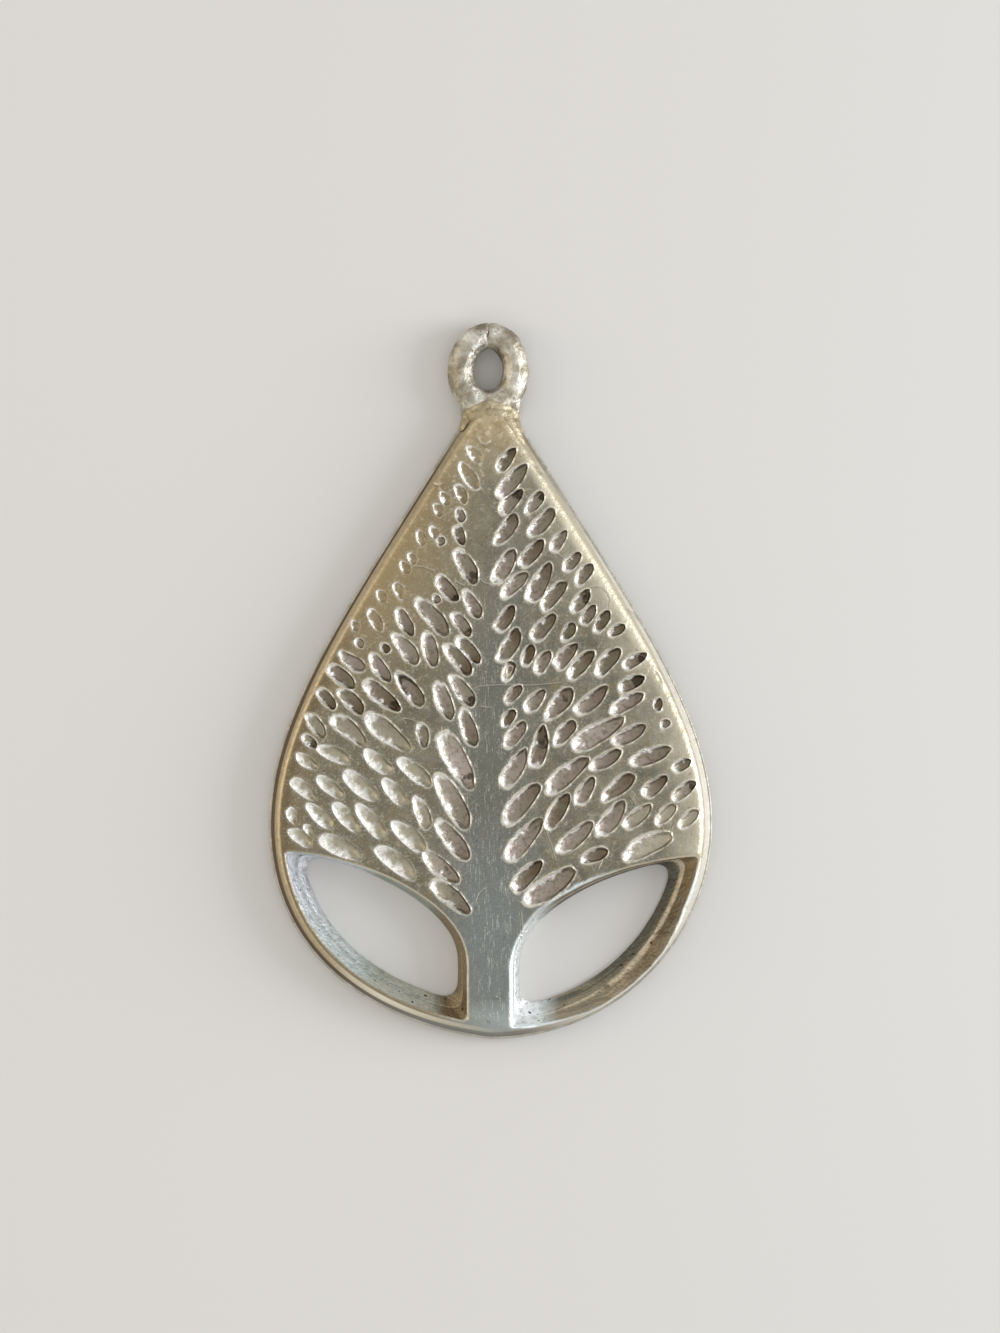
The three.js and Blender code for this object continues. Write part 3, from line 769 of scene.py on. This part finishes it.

# %% [markdown]
# The openings' front edges are rounded over, widest along the trunk. A second set of numbers, kept on the
# corners, says where the material is carved or worn, and where highlights and shade are painted on.

# %% Rounded front edges of the openings
LIP_WIDTH = 0.26
LIP_DROP = 0.13
WIDE_LIP = 0.3
WIDE_DROP = 0.32
lip_distance = nearest(flat_tree(np.vstack(front_outlines)), sheet)
by_trunk = between(sheet_x, 0.5, 0.9) * between(sheet_x, 4.5, 3.2)
lip_width = LIP_WIDTH + (WIDE_LIP - LIP_WIDTH) * by_trunk
lip_drop = LIP_DROP * (1 - 0.6 * thin_rim(sheet)) + (WIDE_DROP - LIP_DROP) * by_trunk
height -= lip_drop * np.clip(1 - lip_distance / lip_width, 0, 1) ** 1.5
height = np.minimum(height, top)

# a painted highlight along the lips, even beside the trunk and ragged on the right rim
ragged_lip = lip_distance + 0.13 * lumps(flat_points, 0.4, 27) - 0.05 * lumps(flat_points, 1.6, 28)
at_right = between(sheet_x, 2.5, 4) * between(sheet_y, -13.6, -14.6)
pale = np.maximum(by_trunk * between(lip_distance, 0.3, 0.22), at_right * between(ragged_lip, 0.26, 0.14))
print("lips:", int((lip_distance < LIP_WIDTH).sum()), "corners rounded off")

# %% The carved layer's mesh
plate_bm = bmesh.new()
# the walls' white and the lips' pale are painted highlight, the burrs' cream partly polish and partly painted
# highlight, and the dark marks painted shade
marks = {
    "carved": between(depth, 0, 0.12) * colouring,
    "burr": np.clip(burr, 0, 1),
    "wall": rough_wall_and_highlight,
    "tone": np.clip(tone, 0, 1),
    "dark": np.clip(dark, 0, 1),
    "edge": from_edge,
    "lip": between(lip_distance, 0.16, 0.05),
    "pale": pale,
    "fringe": between(rim_distance, 0.4, 0.05) * ~carved,
}
for name in marks:
    plate_bm.verts.layers.float.new(name)
layers = {name: plate_bm.verts.layers.float[name] for name in marks}
plate_verts = [plate_bm.verts.new((*point, z)) for point, z in zip(sheet, height)]
for name, values in marks.items():
    for vert, value in zip(plate_verts, values):
        vert[layers[name]] = value
for a, b, c in sheet_faces:
    plate_bm.faces.new((plate_verts[a], plate_verts[b], plate_verts[c]))
plate_bm.normal_update()

# %% [markdown]
# The openings are cut right through with sloping walls. Each wall is a bridge between the front edge and
# the outline on the joint below it. Every point of the front edge is paired with the point of the joint
# outline in the same direction from the opening's middle, so the bridge doesn't twist.


# %% Pairing outlines and marking walls
def paired(points, loop, centre):
    """For each flat point, the point of a loop in the same direction from a centre."""
    wanted = bearings(points - centre)
    reach = reach_of(smooth_loop(loop, FINE_SPACING), centre, wanted)
    return centre + reach[:, None] * np.stack([np.cos(wanted), np.sin(wanted)], 1)


def mark_openings(piece, on_wall):
    """Stores which corners lie on an opening's wall, and how far each of those leans to the right."""
    points = places_of(piece)
    middles = np.array([front[:, 0].mean() for front in front_outlines])
    on_right = points[:, 0] > 0
    facing = np.clip((middles[on_right.astype(int)] - points[:, 0]) / 2.5 - 1.1 * on_right, -1, 1)
    store(piece, through=on_wall.astype(float), facing=facing)


def add_loop(shape, points, z):
    """Adds a closed run of selected edges at one height."""
    verts = [shape.verts.new((*point, z)) for point in points]
    for first, second in zip(verts, verts[1:] + verts[:1]):
        shape.edges.new((first, second)).select = True


def select_edges(piece, wanted):
    """Selects only the edges for which wanted(edge) is true."""
    bpy.ops.mesh.select_mode(type="EDGE")
    bpy.ops.mesh.select_all(action="DESELECT")
    for edge in bmesh.from_edit_mesh(piece.data).edges:
        edge.select = bool(wanted(edge))
    bmesh.update_edit_mesh(piece.data)


def middle_of(edge):
    """The middle of an edge."""
    return (edge.verts[0].co + edge.verts[1].co) / 2


def leave_editing():
    """Turns every face outwards and goes back to object mode."""
    bpy.ops.mesh.select_all(action="SELECT")
    bpy.ops.mesh.normals_make_consistent(inside=False)
    bpy.ops.object.mode_set(mode="OBJECT")


# %% Opening walls and underside
WALL_CUTS = 9
WALL_LUMPS = 0.05
carved_layer = new_piece("carved_layer", plate_bm)
bpy.ops.object.mode_set(mode="EDIT")
for front, joint in zip(front_outlines, joint_outlines):
    grown = outwards(front, HAIR)
    select_edges(carved_layer, lambda edge: edge.is_boundary
                 and inside(np.array([middle_of(edge)[:2]]), grown)[0])
    add_loop(bmesh.from_edit_mesh(carved_layer.data), paired(front, joint[:, :2], front.mean(0)), base)
    bmesh.update_edit_mesh(carved_layer.data)
    bpy.ops.mesh.bridge_edge_loops(number_cuts=WALL_CUTS, interpolation="LINEAR")
select_edges(carved_layer, lambda edge: edge.is_boundary)
bpy.ops.mesh.fill(use_beauty=True)
leave_editing()

points = places_of(carved_layer)
on_wall = np.arange(len(points)) >= len(sheet)
mark_openings(carved_layer, on_wall)
from_outline = np.where(on_wall, 3, np.append(from_edge, np.zeros(len(points) - len(sheet))))
carved_layer.data.attributes["edge"].data.foreach_set("value", from_outline)

# the walls are uneven, except on the joint
uneven = WALL_LUMPS * lumps(points[on_wall], 0.7, 31) * (points[on_wall, 2] > base + 0.01)
left_middle, right_middle = [loop.mean(0) for loop in front_outlines]
outward = points[on_wall, :2] - np.where(points[on_wall, :1] > 0, right_middle, left_middle)
points[on_wall, :2] += uneven[:, None] * unit(outward)
carved_layer.data.vertices.foreach_set("co", points.ravel())
finish_piece(carved_layer, 60)

# %% [markdown]
# ## The backing plate
# The backing is a plain thin casting, a hair larger than the carved layer all round, so its edge shows as
# a light line outside the dark side wall. Filling its outline with two holes, extruding it twice and
# beveling the rims is how it would be drawn by hand.

# %% Backing plate
SLACK = 1e-4
back_shape = merged("back_plate")
back_low, back_high = in_mm(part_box("back_plate"))
upright = borders(back_shape, lambda face: abs(face.normal.z) < 0.02)
upright.sort(key=lambda run: (np.ptp(run[:, 0]), -run[:, 2].mean()))
through_left, through_right = left_first(run for run in upright[:4] if run[:, 2].mean() > 0.1)
back_outline = smooth_loop(upright[-1][:, :2], OUTLINE_SPACING)
back_outline = np.clip(back_outline, back_low[:2] + SLACK, back_high[:2] - SLACK)
lids = borders(back_shape, lambda face: face.normal.z > 0.99 and face.calc_center_median().z > 1)
lids.sort(key=lambda run: np.ptp(run[:, 0]))
lips_left, lips_right = left_first(lids[:2])
through_height = through_left[:, 2].mean()
back_shape.free()
print("backing: outline", len(back_outline), "points")


# %% Draw and extrude the backing
through = [smooth_loop(run[:, :2], OUTLINE_SPACING) for run in (through_left, through_right)]
back_bm = bmesh.new()
for points in (back_outline, *through):
    add_loop(back_bm, points, 0)
backing = new_piece("backing_plate", back_bm)
bpy.ops.object.mode_set(mode="EDIT")
bpy.ops.mesh.select_mode(type="VERT")
bpy.ops.mesh.select_all(action="SELECT")
bpy.ops.mesh.fill(use_beauty=True)
for rise in (through_height, back_high[2] - through_height):
    bpy.ops.mesh.extrude_region_move(TRANSFORM_OT_translate={"value": (0, 0, rise)})
shape = bmesh.from_edit_mesh(backing.data)
for low, lip in zip(through, (lips_left, lips_right)):
    rim = [vert for vert in shape.verts if vert.co.z > back_high[2] - 0.01]
    flat = np.array([vert.co[:2] for vert in rim])
    mine = np.flatnonzero(inside(flat, outwards(low, HAIR)))
    moved = paired(flat[mine], lip[:, :2], low.mean(0))
    for vert, point in zip([rim[i] for i in mine], moved):
        vert.co.x, vert.co.y = point
bmesh.update_edit_mesh(backing.data)
print("light comes through at a height of", through_height.round(2), "mm")


# %% Bevel the backing
BACK_BEVEL = 0.18
STEP_BEVEL = 0.07
LIP_BEVEL = 0.09


def bevel_rim(piece, z, outer, width, segments):
    """Rounds the edges that lie at one height, either on the outer outline or in the openings."""
    def on_rim(edge):
        x, y, _ = middle_of(edge)
        on_outline = edge_tree.find((x, y, 0))[2] < 0.5 or y > plate_high[1] - 5
        level = all(abs(vert.co.z - z) < 1e-3 for vert in edge.verts)
        return level and edge.calc_face_angle(0) > math.radians(20) and on_outline == outer

    select_edges(piece, on_rim)
    bpy.ops.mesh.bevel(offset=width, segments=segments, affect="EDGES")


bevel_rim(backing, 0, True, BACK_BEVEL, 4)
bevel_rim(backing, back_high[2], True, STEP_BEVEL, 3)
bevel_rim(backing, back_high[2], False, LIP_BEVEL, 3)
leave_editing()
flat = places_of(backing)[:, :2]
mark_openings(backing, sum(inside(flat, outwards(low, 1.2)) for low in through) > 0)
finish_piece(backing, 40)


# %% [markdown]
# ## The eye and the solder
# The eye is thick wire bent round, its two ends pressed into the neck, then soldered. Real wire like this
# is never evenly round: the pliers flatten it and the file leaves facets. Merged copies of the measured
# forms are remeshed into small even faces, which melts their corners as solder does, then smoothed, and
# their skin is pushed in and out a little. The wire's two ends meet at the top in a pressed seam.


# %% Melted copies of the measured forms
MELTING = 22


def soften(piece, voxel, rounds, bumps):
    """Melts a piece's corners and makes its skin uneven. bumps are (height, size, seed) in mm."""
    remesh = piece.modifiers.new("remesh", "REMESH")
    remesh.mode = "VOXEL"
    remesh.voxel_size = voxel
    bpy.ops.object.modifier_apply(modifier=remesh.name)
    smooth = piece.modifiers.new("smooth", "SMOOTH")
    smooth.factor = 0.5
    smooth.iterations = rounds
    bpy.ops.object.modifier_apply(modifier=smooth.name)
    points = places_of(piece)
    normals = np.array([vert.normal for vert in piece.data.vertices])
    for rise, size, seed in bumps:
        points += normals * (rise * (lumps(points, size, seed) - 0.1))[:, None]
    return points, normals


def joined(name, parts):
    """Joins pieces into one at the origin."""
    take_up(parts[0])
    for part in parts[1:]:
        part.select_set(True)
    bpy.ops.object.join()
    parts[0].name = name
    bpy.ops.object.transform_apply(location=True, rotation=True, scale=True)
    return parts[0]


def set_places(piece, points, node_low, node_high):
    """Puts a piece's corners in place, inside a box."""
    piece.data.vertices.foreach_set("co", np.clip(points, node_low, node_high).ravel())


# %% The eye and its seam
# spots of painted highlight on the eye, each as x, y and size
HIGHLIGHT_SPOTS = [
    (-0.75, 24.95, 0.45), (-1.0, 24.3, 0.4), (-1.15, 23.6, 0.45), (-1.1, 22.4, 0.55), (-1.0, 21.2, 0.5),
    (2.2, 21.6, 0.6), (-0.8, 20.4, 0.4), (0.5, 25.3, 0.5), (-1.6, 25.0, 0.4)]
eye_low, eye_high = in_mm(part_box("hanging_eye"))
seam_low, seam_high = in_mm(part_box("eye_seam_solder"))
SEAM_DENT = 0.11
FOOT_RISE = 0.28
seam_x = (seam_low[0] + seam_high[0]) / 2
wire_middle = (seam_low[1] + seam_high[1]) / 2


def seam_dent(points):
    """How far the wire's ends are pressed in: a sharp crease at the crest, two facets near the hole."""
    x, y, z = points.T
    aside = np.abs(x - seam_x - 0.06 * np.sin(3 * y))
    inner = between(y, wire_middle + 0.35, wire_middle) * (y > seam_low[1] - 0.5)
    crease = between(aside, 0.09, 0) * between(y, wire_middle - 0.3, wire_middle + 0.1)
    facets = between(aside, 0.75, 0.05) * inner * between(z, 1.3, 1.7)
    return SEAM_DENT * (crease + facets), crease, facets


wire = new_piece("wire", merged("hanging_eye"))
plug_shape = merged("eye_seam_solder")
for vert in plug_shape.verts:
    vert.co.x = seam_x + 1.4 * (vert.co.x - seam_x)
eye = joined("wire_eye", [wire, new_piece("plug", plug_shape)])
points, normals = soften(eye, 0.055, MELTING, [(0.085, 1.1, 2), (0.022, 0.4, 4)])
dent, crease, facets = seam_dent(points)
points -= normals * dent[:, None]
hole_foot = bell((points[:, 1] - 20.7) / 0.6) * bell(points[:, 0] / 1.5)
points[:, :2] += normals[:, :2] * (FOOT_RISE * hole_foot * between(normals[:, 1], 0.1, 0.5))[:, None]
set_places(eye, points, eye_low, eye_high)
# painted highlight at those spots and on the seam's facets, more on the left facet, and painted shade in the
# crease
painted_highlight = sum(bell(np.hypot(points[:, 0] - x, points[:, 1] - y) / size) for x, y, size in HIGHLIGHT_SPOTS)
painted_highlight += facets * np.where(points[:, 0] < seam_x, 1.2, 0.3)
store(eye, dark=0.9 * crease, bright=np.clip(painted_highlight, 0, 1) * (points[:, 2] > 1))
finish_piece(eye, 180)

seam_bead = new_piece("seam_bead", merged("eye_seam_solder"))
points, normals = soften(seam_bead, 0.04, 3, [(0.02, 0.2, 12)])
points -= normals * seam_dent(points)[0][:, None]
set_places(seam_bead, points, seam_low, seam_high)
finish_piece(seam_bead, 180)

# %% [markdown]
# The solder ran over the eye's foot, down both sides of the neck and, on the right, along the tip. It set
# in one soft mass. Balls along those lines are joined to a copy of the measured fillet, and the whole is
# melted into one. Each point of a line is its two flat coordinates, its height and the ball's radius.

# %% Solder on the neck
SOLDER_STEP = 0.16
neck_low = np.array([-2.9, 16.0, 0.1])
neck_high = np.array([2.9, 21.0, 2.66])
NECK_SIDE = [
    [(1.95, 18.15, 1.0, 0.4), (1.62, 18.8, 1.1, 0.5)],
    [(1.62, 18.8, 1.1, 0.52), (1.58, 19.8, 1.2, 0.56)]]
FOOT_COVER = [
    [(0.0, 19.85, 1.78, 0.6), (0.7, 19.78, 1.72, 0.58), (1.35, 19.5, 1.5, 0.56)],
    [(0.0, 19.25, 1.98, 0.62), (0.65, 19.2, 1.94, 0.62), (1.15, 19.15, 1.74, 0.6)],
    [(0.0, 18.65, 1.98, 0.62), (0.7, 18.55, 1.94, 0.6)]]
TIP_EDGE = [[(0.9, 19.1, 1.93, 0.6), (1.4, 18.4, 1.9, 0.58), (2.2, 17.1, 1.72, 0.44), (2.8, 16.2, 1.5, 0.36)]]


def balls(line):
    """The places and radii of balls along a line."""
    for start, end in zip(np.array(line), np.array(line[1:])):
        count = max(2, round(np.linalg.norm(end - start) / SOLDER_STEP))
        yield from (start + (end - start) * share for share in np.linspace(0, 1, count))


def solder(name, node, side, lines, seed):
    """Solder on one side of the neck, melted from balls along some lines."""
    parts = [new_piece(name, merged(node))]
    for line in lines:
        for x, y, z, radius in balls(line):
            bpy.ops.mesh.primitive_ico_sphere_add(subdivisions=2, radius=radius, location=(side * x, y, z))
            parts.append(bpy.context.object)
    piece = joined(name, parts)
    points, _ = soften(piece, 0.05, MELTING, [(0.07, 0.8, seed), (0.03, 0.32, seed + 1)])
    set_places(piece, points, neck_low, neck_high)
    finish_piece(piece, 180)
    return piece


solder_left = solder("left_solder", "neck_solder_left", -1, NECK_SIDE + FOOT_COVER, 8)
solder_right = solder("right_solder", "neck_solder_right", 1, NECK_SIDE + FOOT_COVER + TIP_EDGE, 40)

# %% [markdown]
# ## Pewter
# Pewter is tin hardened with a little copper or antimony. Cast in rubber and tumbled, it comes out soft
# grey with a fine grain, takes warm brown tarnish in its hollows, and brightens wherever skin and cloth
# rub it. So one alloy is used everywhere, and what changes from piece to piece is tarnish, polish and
# the highlights and shade painted into the colour.


# %% Short forms for the shader
def ramp(value, low, high, start=0.0, end=1.0):
    """A value that runs from start at low to end at high."""
    return add(value.id_data, "MapRange", {"Value": value, "From Min": low, "From Max": high,
                                           "To Min": start, "To Max": end}).outputs[0]


def cloudy(place, size, low, high, detail=5):
    """Noise in patches of about size millimetres, 0 where it is below low and 1 where it is above high."""
    cloud = add(place.id_data, "TexNoise",
                {"Vector": place, "Scale": 1 / size, "Detail": detail, "Roughness": 0.6})
    return ramp(cloud.outputs["Fac"], low, high)


def maths(operation, first, *others):
    """One value worked out from others."""
    links = dict(enumerate((first, *others)))
    return add(first.id_data, "Math", links, operation=operation).outputs[0]


def times(first, *others):
    """The product of several values."""
    for other in others:
        first = maths("MULTIPLY", first, other)
    return first


def blend(share, under, over):
    """A share of one colour laid over another."""
    return add(share.id_data, "Mix", {0: share, 6: under, 7: over}, data_type="RGBA").outputs[2]


def coats(metal, *layers):
    """Colours laid over the metal in turn. A layer is a written colour and the factors of its share."""
    for written, *factors in layers:
        metal = blend(times(*factors), metal, colour(written))
    return metal


def stretched(place, *sizes):
    """Places squeezed so that noise of size 1 comes out as streaks of these sizes in millimetres."""
    squeeze = tuple(1 / size for size in sizes)
    return add(place.id_data, "VectorMath", {0: place, 1: squeeze}, operation="MULTIPLY").outputs[0]


def stored(place, *names):
    """The numbers that were stored on the mesh under these names."""
    return [add(place.id_data, "Attribute", attribute_name=name).outputs["Fac"] for name in names]


# %% Pewter material
def pewter(name, dark, light, tarnish, rough, grain, dress=None):
    """Tumbled cast pewter: mottled grey, warm tarnish, fine casting grain. Sizes are in millimetres."""
    material = bpy.data.materials.new(name)
    material.use_nodes = True
    tree = material.node_tree
    shader = tree.nodes["Principled BSDF"]
    shader.inputs["Metallic"].default_value = 1.0
    place = add(tree, "TexCoord").outputs["Object"]
    mm = add(tree, "VectorMath", {0: place, "Scale": 1 / MM}, operation="SCALE").outputs[0]
    metal = coats(
        colour(dark),
        (light, cloudy(mm, 1.6, 0.36, 0.64, 6)),
        (tarnish, cloudy(mm, 0.75, 0.5, 0.7), 0.7),
        (dark, cloudy(mm, 0.3, 0.5, 0.66, 4), 0.45))
    fine = cloudy(mm, 0.16, 0.25, 0.75, 3)
    coarse = cloudy(mm, 0.6, 0.25, 0.75, 4)
    roughness = ramp(fine, 0, 1, rough - 0.06, rough + 0.06)
    height = maths("MULTIPLY_ADD", coarse, 3.0, fine)
    if dress:
        metal, roughness, height = dress(mm, metal, roughness, height)
    # the stored bright marks are painted highlight, and the stored dark marks painted shade
    painted_highlight, painted_shade = stored(mm, "bright", "dark")
    metal = coats(metal, (0xE2E0D8, painted_highlight, cloudy(mm, 0.3, 0.35, 0.6)), (0x3A3026, painted_shade))
    skin = add(tree, "Bump", {"Height": height, "Strength": 1.0, "Distance": grain * MM})
    tree.links.new(metal, shader.inputs["Base Color"])
    tree.links.new(roughness, shader.inputs["Roughness"])
    tree.links.new(skin.outputs[0], shader.inputs["Normal"])
    return material


# %% Tarnish and painted light on the openings' walls
def opening_walls(mm, metal, roughness, height, slope=0x6E6D60):
    """Painted light on brown walls: pale where they lean to the right, green-grey at the left opening's foot.
    """
    through, facing = stored(mm, "through", "facing")
    x, y, level = add(mm.id_data, "SeparateXYZ", {0: mm}).outputs
    on_right, on_right_rim = ramp(x, 0, 1), ramp(x, 2, 5)
    low_right = times(on_right, ramp(y, -20, -23), 0.6)
    outer_left = ramp(x, -3.2, -4.6)
    streak = cloudy(stretched(mm, 4, 4, 0.2), 1, 0.5, 0.62, 3)
    raised = maths("SUBTRACT", level, ramp(y, -17, -23, 0, 0.25))
    ridge = times(ramp(raised, 0.88, 0.98), ramp(raised, 1.24, 1.1), on_right_rim,
                  cloudy(mm, 0.9, 0.34, 0.46))
    # tints that follow which way a wall faces are painted light: the pale, cool and green-grey ones painted
    # highlight, the warm tans on walls facing left painted warm light, and the darker ones low in the right
    # opening and on the left opening's bevel painted shade; the cloudy and streaked tints are the metal's own
    wall = coats(
        colour(slope),
        (0x8A7B62, cloudy(mm, 0.9, 0.4, 0.62)),
        (0x9E927E, low_right),
        (0xAEB2A6, outer_left),
        (0xD6D8CC, outer_left, ramp(y, -20, -22.5)),
        (0xA8936F, ramp(x, 9, 12), ramp(y, -16.5, -14.5), 0.7),
        (0xA28E6E, ramp(x, -4.2, -3), ramp(x, 0, -0.1), 0.8),
        (0x69665A, ramp(level, 0.9, 0.8), on_right),
        (0xC0B294, streak, low_right),
        (0xA8A292, ramp(level, 1.7, 2.3), on_right_rim, 0.6),
        (0xD6C8AE, ridge, 0.9),
        (0xE2EAEA, ramp(facing, 0.05, 0.75)),
        (0xE8E5EE, ramp(x, -8, -10), ramp(y, -18, -15.5), 0.6),
        (0xF6F8F8, ramp(facing, 0.3, 0.7), ramp(x, 0, 0.1), ramp(x, 4.2, 2.8)),
        (0x8E9690, ramp(level, 0.96, 1.02), ramp(level, 1.2, 1.13), outer_left, 0.7),
        (0x868C84, cloudy(mm, 0.5, 0.5, 0.66), 0.4),
        (0x40382C, cloudy(mm, 0.5, 0.27, 0.25, 1)))
    crumbs = times(cloudy(mm, 0.22, 0.4, 0.7, 3), through)
    return blend(through, metal, wall), roughness, maths("MULTIPLY_ADD", crumbs, 3.0, height)


# %% What follows the carving
def carved_face(mm, metal, roughness, height):
    """Brown floors, burrs bright from polish and painted highlight, painted highlights on the walls and the
    right rim, painted warm light on the left rim and a side wall in painted shade.
    """
    carved, burr, wall, tone, edge, lip, pale, fringe = stored(
        mm, "carved", "burr", "wall", "tone", "edge", "lip", "pale", "fringe")
    x, y, _ = add(mm.id_data, "SeparateXYZ", {0: mm}).outputs
    left, right = ramp(x, 1, -8), ramp(x, 0.5, 8)
    upper = ramp(y, -2, 9)
    rim = ramp(edge, 3.6, 0.9)
    trunk = times(ramp(maths("ABSOLUTE", x), 4.5, 1.2), ramp(y, 14, 2))
    patches = cloudy(mm, 2.2, 0.32, 0.6)

    # the plain field, from grey at the trunk to tan on the left, painted warm light, and cream at the right
    # rim, a painted highlight
    metal = coats(
        metal,
        (0x79705C, left, 0.5),
        (0x76776F, trunk, 0.8),
        (0x868C8A, trunk, ramp(y, -9, -17), 0.8),
        (0xA6AEAC, trunk, ramp(y, -23, -24.4)),
        (0xB09C74, upper, left, 0.8),
        (0xA48F68, rim, left, ramp(patches, 0, 1, 0.2, 0.6)),
        (0xCEC6B0, rim, right, ramp(patches, 0, 1, 0.5, 0.9)),
        (0xC6B591, ramp(y, 14, 19), 0.9))

    # brown and cream blotches, most of them at the tip and few on the trunk
    blotched = times(ramp(y, 11, 17, 0.25, 0.6), ramp(trunk, 0, 0.5, 1, 0.15))
    for size, low, high, written in ((0.55, 0.5, 0.64, 0x9C875E), (0.5, 0.56, 0.68, 0xEADFC6)):
        moved = add(mm.id_data, "VectorMath", {0: mm, 1: (low * 40, 0, 0)}).outputs[0]
        metal = coats(metal, (written, cloudy(moved, size, low, high, 4), blotched))

    # along the edge: on the left a brown strip of painted shade inside a tan band of painted highlight, on
    # the right a painted highlight
    band = times(ramp(edge, 0.74, 0.6), left)
    metal = coats(
        metal,
        (0x75674E, left, ramp(edge, 0.6, 0.75), ramp(edge, 1.8, 1.2), ramp(y, 6, 0, 0, 0.8)),
        (0xC6B594, band),
        (0xA08A64, band, cloudy(mm, 0.4, 0.48, 0.62), 0.4),
        (0xF2ECD8, band, ramp(y, -20, -23)),
        (0xC2B9A3, ramp(edge, 1.4, 1.0), right),
        (0xE8DFC6, ramp(edge, 1.3, 0.8), ramp(x, 1, 4), ramp(y, -2, 4), 0.6))

    # fine marks: upright and slanting scratches, flecks and pores, then painted highlights on the openings'
    # lips
    scratch = times(cloudy(stretched(mm, 0.08, 0.9, 1), 1, 0.58, 0.72, 3), ramp(trunk, 0, 1, 0.25, 1))
    slant = add(mm.id_data, "VectorRotate", {"Vector": mm, "Angle": 0.9}, rotation_type="Z_AXIS").outputs[0]
    to_upper_right = maths("MULTIPLY_ADD", x, 1.2, y)
    metal = coats(
        metal,
        (0xB4B6B0, scratch, 0.4),
        (0xC8C4B6, cloudy(stretched(slant, 0.06, 2.2, 1), 1, 0.64, 0.72, 2), 0.3),
        (0xCFCCBE, cloudy(mm, 0.14, 0.55, 0.66, 2), ramp(fringe, 0, 1, 0.3, 1), 0.5),
        (0x585244, cloudy(mm, 0.3, 0.33, 0.28, 2), 0.4),
        (0xE6DCC4, lip, ramp(to_upper_right, -30, -24, 0.2, 0.75)),
        (0xE6ECEB, pale))

    # the leaves, with paler and mottled floors at the lower left and the lower right
    scoops = maths("MAXIMUM", times(ramp(x, -2.5, -6), ramp(y, -2, -6)),
                   times(ramp(x, 9, 11.5), ramp(y, -7.5, -9.5), 0.8))
    leaf_floor = coats(
        colour(0x6A5B46),
        (0xBEB2A9, tone),
        (0x8C8872, cloudy(mm, 1.8, 0.45, 0.6), 0.5),
        (0x685A46, cloudy(mm, 0.3, 0.5, 0.66), 0.6),
        (0xC6C0AA, scoops, 0.8),
        (0x9A8E74, cloudy(mm, 0.45, 0.52, 0.62, 4), scoops, 0.5))
    crumple = cloudy(mm, 0.34, 0.34, 0.46, 5)
    # the white on the walls is a painted highlight, and the burrs' cream partly polish, partly painted
    # highlight
    metal = coats(
        blend(carved, metal, leaf_floor),
        (0xF6F4EE, wall, ramp(crumple, 0, 1, 0.55, 1)),
        (0xEDE6D5, burr))

    # the side wall, lower on the left and at the top: painted shade in dark brown, a painted highlight in
    # white on the right
    nearer = times(ramp(upper, 0, 1, 1, 2), ramp(left, 0, 1, 1, 1.35))
    side_wall = coats(
        colour(0x6E5B42),
        (0xEFEBDF, right),
        (0x8E8E86, ramp(y, -21, -24.5), ramp(x, 4, 1)),
        (0xA89B7C, ramp(y, 15, 18)))
    metal = blend(ramp(times(edge, nearer), 0.44, 0.34), metal, side_wall)
    roughness = add(mm.id_data, "Mix", {0: wall, 2: roughness, 3: 0.5}).outputs[0]
    height = maths("MULTIPLY_ADD", times(crumple, wall), 3.0, height)
    height = maths("MULTIPLY_ADD", scratch, -0.8, height)
    return opening_walls(mm, metal, roughness, height, 0x786850)


# %% Finishes
finishes = {
    carved_layer: pewter("tumbled_cast_pewter_carved", 0x716E62, 0x938F7F, 0x857A5E, 0.46, 0.012,
                         carved_face),
    # the backing is painted lighter than the carved layer, a painted highlight for the light line along its
    # ledge
    backing: pewter("tumbled_cast_pewter_plain", 0xA6A398, 0xC2BEB2, 0x9C8F76, 0.46, 0.012, opening_walls),
    eye: pewter("filed_pewter_wire", 0x857B66, 0xDAD4C6, 0x8A7A5A, 0.52, 0.016),
    # the left solder is painted darker, as painted shade, and the right one lighter, as painted light
    solder_left: pewter("soft_solder_shaded", 0xA5987B, 0xC4B89A, 0x8A7B56, 0.56, 0.016),
    solder_right: pewter("soft_solder_lit", 0xA89C80, 0xD0C5AA, 0x90805C, 0.56, 0.016),
    seam_bead: pewter("soft_solder_bead", 0xA9A294, 0xCFC9BC, 0x8A7A5C, 0.52, 0.014),
}
for piece, material in finishes.items():
    piece.data.materials.clear()
    piece.data.materials.append(material)

# %% [markdown]
# ## Onto the measured model
# Each new piece says which measured node it stands for, which body carries it and which of the record's
# finishes it shows. The pendant has no moving part, so everything rides on the one body.

# %% Ride and replace
places = {
    carved_layer: ("tree_plate", "carved_pewter"),
    backing: ("back_plate", "backing_pewter"),
    eye: ("hanging_eye", "eye_pewter"),
    solder_left: ("neck_solder_left", "solder"),
    solder_right: ("neck_solder_right", "solder"),
    seam_bead: ("eye_seam_solder", "solder"),
}
for piece, (node, finish) in places.items():
    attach(piece, "root")
    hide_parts(node)
